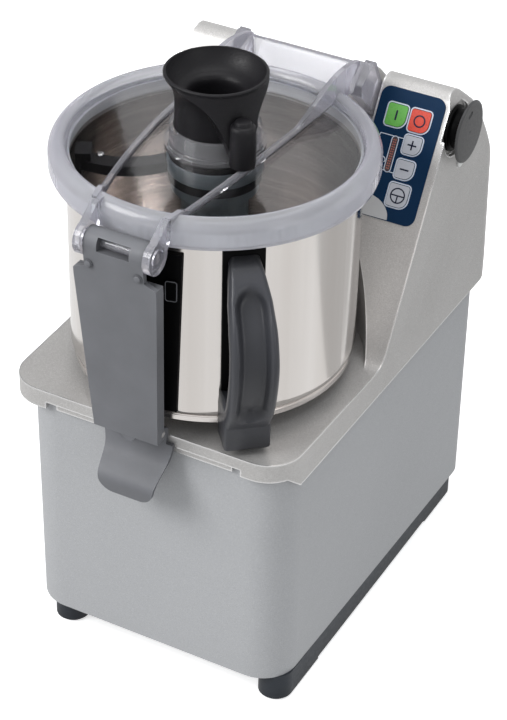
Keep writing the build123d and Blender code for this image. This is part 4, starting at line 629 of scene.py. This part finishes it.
def make_handle():
    rings = [grip_ring(spot, way) for spot, way in curve_points(GRIP_LINE, 10)]
    grip = Shape().skin(rings).thing("bowl_grip")

    def foot_ring(u0, u1, half, z, radius=2.2):
        corners = ((u0, -half, pi), (u1, -half, 1.5 * pi), (u1, half, 0), (u0, half, pi / 2))
        ring = []
        for u, v, start in corners:
            ring += arc(u + (radius if u == u0 else -radius), v + (radius if v < 0 else -radius), radius,
                        start, start + pi / 2, 5)
        return [around_bowl(HANDLE_ANGLE, BOWL_RADIUS + u, v, z) for u, v in ring]

    levels = [(-0.8, 24.2, 15.6, 6.0), (-0.8, 25.2, 16.6, 6.4), (-0.8, 25.9, 17.2, 7.6),
              (-0.8, 25.9, 17.2, 31.6), (-0.8, 25.0, 17.0, 33.4), (-0.8, 24.0, 16.8, 36.0),
              (-0.8, 22.0, 16.6, 42.6), (-0.8, 20.5, 15.6, 43.8), (-0.8, 19.5, 14.6, 44.0)]
    foot = Shape().skin([foot_ring(*level) for level in levels]).thing("foot")
    grip = combined(grip, foot, "UNION")
    settle(grip, "slate", body_of["bowl_handle"], 40.0)
    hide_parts("bowl_handle")


# Hinge knob: its disc and the stem behind it
def about_hinge(profile, steps):
    """A (radius, x) outline turned about the hinge's axis."""
    turns = [2 * pi * i / steps for i in range(steps)]
    rings = [[(x, HINGE_Y + r * cos(t), HINGE_RISE + r * sin(t)) for r, x in profile] for t in turns]
    return Shape().skin(rings, closed=True)


def make_disc():
    stem = [(0, 119.3), (18.0, 119.3), (18.5, 119.8), (18.5, 121.6), (18.0, 122.2), (16.2, 122.5),
            (15.4, 123.4), (15.2, 129.6), (14.6, 130.6), (0, 131.0)]
    # The stem is near black: painted shade for the dark gap behind the knob's disc.
    base = about_hinge(stem, 60).piece("knob_stem", "bracket", "machine", slot_of["hinge_knob_base"])
    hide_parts("hinge_knob_base")

    outer, radius = 133.5, 25.0
    side = [(0, -2.2), (radius - 1.0, -2.2), (radius - 0.3, -1.9), (radius, -1.2), (radius - 0.3, -0.5),
            (radius - 1.2, -0.1), (radius - 2.4, 0.0), (0, 0.0)]
    disc = about_hinge([(r, outer + x) for r, x in side], 72).thing("knob_disc")
    hole = Shape().prism(bar(HINGE_Y - 3.5, HINGE_RISE + 14.4, HINGE_Y + 0.5, HINGE_RISE + 15.6, 4.0),
                         lambda y, z, x: (x, y, z), outer - 4, outer + 2).thing("hole")
    disc = combined(disc, hole, "DIFFERENCE")
    settle(disc, "disc", body_of["hinge_knob_disc"])
    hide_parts("hinge_knob_disc")


# Printing on the panel and the keys
def on_panel(x, up, out):
    """A point over the panel, from its lower left corner."""
    along = PANEL_LOW + up
    return (PANEL_LEFT + x, COLUMN_FRONT + along * sin(SLOPE) - out * cos(SLOPE),
            along * cos(SLOPE) + out * sin(SLOPE))


def key_outline(x, up, width, height, grow):
    """A key's outline, grown: three small corners and a big one at the lower right."""
    w, h = width / 2 + grow, height / 2 + grow
    corners = ((-1, -1, 2 + grow, pi), (1, -1, 6.5 + grow, 1.5 * pi), (1, 1, 2 + grow, 0),
               (-1, 1, 2 + grow, pi / 2))
    points = []
    for side_x, side_y, radius, start in corners:
        points += arc(x + side_x * (w - radius), up + side_y * (h - radius), radius, start, start + pi / 2)
    return points


def make_prints():
    low, high = PANEL_FACE - 0.02, PANEL_FACE + 0.08
    frames = Shape()
    for row in KEYS.values():
        frames.band(key_outline(*row, 1.45), key_outline(*row, 0.45), on_panel, low, high)
    frames.piece("key_frames", "print", "machine", slot_of["control_panel"])

    lines = Shape()
    outer, inner = (arc(BAR_X, BAR_HIGH - BAR_HALF, BAR_HALF + g, 0, pi, 10)
                    + arc(BAR_X, BAR_LOW + BAR_HALF, BAR_HALF + g, pi, 2 * pi, 10) for g in (0.95, 0.3))
    lines.band(outer, inner, on_panel, low, high)
    for x0, y0, x1, y1 in ((22.8, 64.3, 28.0, 64.3), (19.6, 64.3, 8.4, 64.3), (8.4, 64.3, 7.2, 60.4),
                           (22.8, 36.9, 27.2, 36.9), (19.4, 37.2, 12.6, 37.2)):
        lines.prism(bar(x0, y0, x1, y1, 0.65), on_panel, low, high)
    curl = arc(15.2, 44.6, 2.7, radians(-40), radians(215), 20)
    back = arc(15.2, 44.6, 2.05, radians(-40), radians(215), 20)[::-1]
    lines.prism(curl + back, on_panel, low, high)
    lines.piece("panel_lines", "print", "machine", slot_of["control_panel"])

    top = PANEL_FACE + 0.3
    dots = Shape()
    for i in range(13):
        for side in (-0.8, 0.8):
            centre = (BAR_X + side,
                      BAR_LOW + BAR_HALF + 0.2 + i * (BAR_HIGH - BAR_LOW - 2 * BAR_HALF - 0.4) / 12)
            dots.prism(circle(*centre, 0.55, 10), on_panel, top - 0.02, top + 0.08)
    dots.piece("light_dots", "dot", "machine", slot_of["light_bar"])

    turn = [i * pi / 40 for i in range(41)]
    edge = [(10.0 + 22.0 * cos(t), 0.7 + 16.2 * sin(t)) for t in reversed(turn)]
    edge = [p for p in edge if p[0] > 0.35]
    corner = arc(8.0, 8.0, 7.65, 1.5 * pi, pi, 10)
    Shape().prism(edge + corner, on_panel, low, high - 0.02).piece(
        "bare_oval", "oval", "machine", slot_of["control_panel"])


def make_symbols():
    """I, O, plus, minus and pulse, each on its own key."""
    low, high = KEY_TOP - 0.02, KEY_TOP + 0.06
    centres = {name: row[:2] for name, row in KEYS.items()}

    def mark(name, shape):
        shape.piece(name[:-4] + "_mark", "ink", name, slot_of[name])

    x, y = centres["start_key"]
    mark("start_key", Shape().prism(bar(x, y - 3.3, x, y + 3.3, 1.5), on_panel, low, high))
    x, y = centres["stop_key"]
    mark("stop_key", Shape().band(circle(x, y, 4.9), circle(x, y, 3.7), on_panel, low, high))
    x, y = centres["plus_key"]
    a, b = 3.7, 0.62
    cross = [(-b, -a), (b, -a), (b, -b), (a, -b), (a, b), (b, b), (b, a), (-b, a), (-b, b), (-a, b),
             (-a, -b), (-b, -b)]
    mark("plus_key", Shape().prism([(x + u, y + v) for u, v in cross], on_panel, low, high))
    x, y = centres["minus_key"]
    mark("minus_key", Shape().prism([(x - a, y - b), (x + a, y - b), (x + a, y + b), (x - a, y + b)],
                                    on_panel, low, high))
    x, y = centres["pulse_key"]
    pulse = Shape().band(circle(x, y, 6.2), circle(x, y, 5.1), on_panel, low, high)
    pulse.prism(bar(x - 5.2, y, x + 5.2, y, 1.1), on_panel, low, high)
    pulse.prism(bar(x, y - 5.2, x, y - 0.4, 1.1), on_panel, low, high)
    mark("pulse_key", pulse)


# Small mouldings
def make_mouldings():
    def on_pad(across, rise, out):
        return around_bowl(PAD_ANGLE, PAD_REACH + out, across, PAD_RISE + rise)

    def outline(half_x, half_y, radius):
        return [p for sx, sy, start in ((-1, -1, pi), (1, -1, 1.5 * pi), (1, 1, 0), (-1, 1, pi / 2))
                for p in arc(sx * (half_x - radius), sy * (half_y - radius), radius, start,
                             start + pi / 2, 6)]

    Shape().band(outline(4.5, 8.5, 2.0), outline(3.9, 7.9, 1.4), on_pad, -0.05, 0.35).piece(
        "pad_border", "latch", "machine", slot_of["magnet_pad"])

    def under_latch(x, z, back):
        return (x, -21.4 + back, z)

    tab = arc(2.0, 6.2, 6.4, pi, 2 * pi, 24)
    round_tab = arc(2.0, 6.2, 5.7, pi, 2 * pi, 24)
    rings = [[under_latch(x, z, d) for x, z in line] for line, d in ((round_tab, 0), (tab, 0.7), (tab, 3.0))]
    Shape().skin(rings).piece("latch_tab", "latch", "latch", slot_of["latch_plate"])

    for side, name in ((-1, "left"), (1, "right")):
        x, z, face = LATCH_PIN_X * side, LATCH_PIN_RISE, LATCH_FACE_Y
        dome = [(0, 0.9), (1.6, 0.85), (2.3, 0.6), (2.6, 0.2), (2.6, -0.6), (0, -0.6)]
        turns = [2 * pi * i / 24 for i in range(24)]
        rings = [[(x + r * cos(t), face - out, z + r * sin(t)) for r, out in dome] for t in turns]
        Shape().skin(rings, closed=True).piece("latch_pin_" + name, "latch", "latch", slot_of["latch_plate"])


# Floor, backdrop and light
def by_ray(tree, path, rays, lit, plain):
    """A shader that these kinds of ray see as plain, and all others as lit."""
    seen = path.outputs[rays[0]]
    for ray in rays[1:]:
        either = tree.nodes.new("ShaderNodeMath")
        either.operation = "MAXIMUM"
        tree.links.new(seen, either.inputs[0])
        tree.links.new(path.outputs[ray], either.inputs[1])
        seen = either.outputs[0]
    mix = tree.nodes.new("ShaderNodeMixShader")
    tree.links.new(seen, mix.inputs[0])
    tree.links.new(lit, mix.inputs[1])
    tree.links.new(plain, mix.inputs[2])
    return mix.outputs[0]


def make_stage():
    floor_material = bpy.data.materials.new("floor")
    floor_material.use_nodes = True
    tree = floor_material.node_tree
    shader = tree.nodes["Principled BSDF"]
    shader.inputs["Base Color"].default_value = (0.93, 0.93, 0.93, 1)
    shader.inputs["Roughness"].default_value = 0.9
    glow = tree.nodes.new("ShaderNodeEmission")
    glow.inputs["Strength"].default_value = 0.62
    both = tree.nodes.new("ShaderNodeAddShader")
    tree.links.new(shader.outputs[0], both.inputs[0])
    tree.links.new(glow.outputs[0], both.inputs[1])
    dim = tree.nodes.new("ShaderNodeBsdfDiffuse")
    dim.inputs["Color"].default_value = (0.42, 0.42, 0.42, 1)
    mirror = tree.nodes.new("ShaderNodeEmission")
    mirror.inputs["Strength"].default_value = 0.92
    path = tree.nodes.new("ShaderNodeLightPath")
    seen = by_ray(tree, path, ["Is Camera Ray", "Is Transmission Ray"], dim.outputs[0], both.outputs[0])
    seen = by_ray(tree, path, ["Is Glossy Ray"], seen, mirror.outputs[0])
    tree.links.new(seen, tree.nodes["Material Output"].inputs["Surface"])
    mesh = bpy.data.meshes.new("floor")
    mesh.from_pydata([(-6, -6, 0), (6, -6, 0), (6, 6, 0), (-6, 6, 0)], [], [(0, 1, 2, 3)])
    mesh.materials.append(floor_material)
    floor = bpy.data.objects.new("floor", mesh)
    bpy.context.scene.collection.objects.link(floor)

    world = bpy.data.worlds.new("world")
    bpy.context.scene.world = world
    world.use_nodes = True
    tree = world.node_tree
    lit = tree.nodes["Background"]
    lit.inputs["Color"].default_value = (0.94, 0.97, 1.0, 1)
    lit.inputs["Strength"].default_value = 0.55
    plain = tree.nodes.new("ShaderNodeBackground")
    plain.inputs["Color"].default_value = (1, 1, 1, 1)
    plain.inputs["Strength"].default_value = 1.0
    mirror = tree.nodes.new("ShaderNodeBackground")
    mirror.inputs["Color"].default_value = (0.78, 0.78, 0.79, 1)
    path = tree.nodes.new("ShaderNodeLightPath")
    seen = by_ray(tree, path, ["Is Glossy Ray"], lit.outputs[0], mirror.outputs[0])
    seen = by_ray(tree, path, ["Is Camera Ray", "Is Transmission Ray"], seen, plain.outputs[0])
    tree.links.new(seen, tree.nodes["World Output"].inputs["Surface"])


def lamp(name, place, target, size, power, colour=(1, 1, 1)):
    data = bpy.data.lights.new(name, "AREA")
    data.shape = "RECTANGLE"
    data.size, data.size_y = size
    data.energy, data.color = power, colour
    thing = bpy.data.objects.new(name, data)
    thing.location = place
    thing.rotation_euler = (Vector(target) - Vector(place)).to_track_quat("-Z", "Y").to_euler()
    bpy.context.scene.collection.objects.link(thing)


def card(name, place, target, size, grey, through=False):
    """A dark or light card that only reflections see, or also what lies under glass."""
    material = bpy.data.materials.new(name)
    material.use_nodes = True
    tree = material.node_tree
    glow = tree.nodes.new("ShaderNodeEmission")
    glow.inputs["Color"].default_value = (grey, grey, grey, 1)
    tree.links.new(glow.outputs[0], tree.nodes["Material Output"].inputs["Surface"])
    mesh = bpy.data.meshes.new(name)
    w, h = size[0] / 2, size[1] / 2
    mesh.from_pydata([(-w, -h, 0), (w, -h, 0), (w, h, 0), (-w, h, 0)], [], [(0, 1, 2, 3)])
    mesh.materials.append(material)
    thing = bpy.data.objects.new(name, mesh)
    thing.location = place
    thing.rotation_euler = (Vector(target) - Vector(place)).to_track_quat("-Z", "Y").to_euler()
    thing.visible_camera = False
    thing.visible_diffuse = False
    thing.visible_shadow = False
    thing.visible_transmission = through
    bpy.context.scene.collection.objects.link(thing)


def make_light():
    middle = (0, 0, 0.25)
    lamp("key", (-1.5, -1.9, 2.0), middle, (1.4, 1.4), 54)
    lamp("top", (0.1, 0.2, 2.7), middle, (2.0, 2.0), 20)
    lamp("right", (2.4, -0.8, 1.2), middle, (1.0, 1.8), 8)
    card("floor_right", (0.62, 0.56, 0.004), (0.62, 0.56, 1.0), (0.75, 0.75), 0.58)
    card("dark_back", (-1.56, 0.93, 1.4), middle, (1.6, 1.3), 0.02, True)


make_camera()
made = make_materials()
dress()
make_funnel()
make_hub_ring()
make_handle()
make_disc()
make_prints()
make_symbols()
make_mouldings()
make_stage()
make_light()
bpy.context.scene.view_settings.view_transform = "Standard"
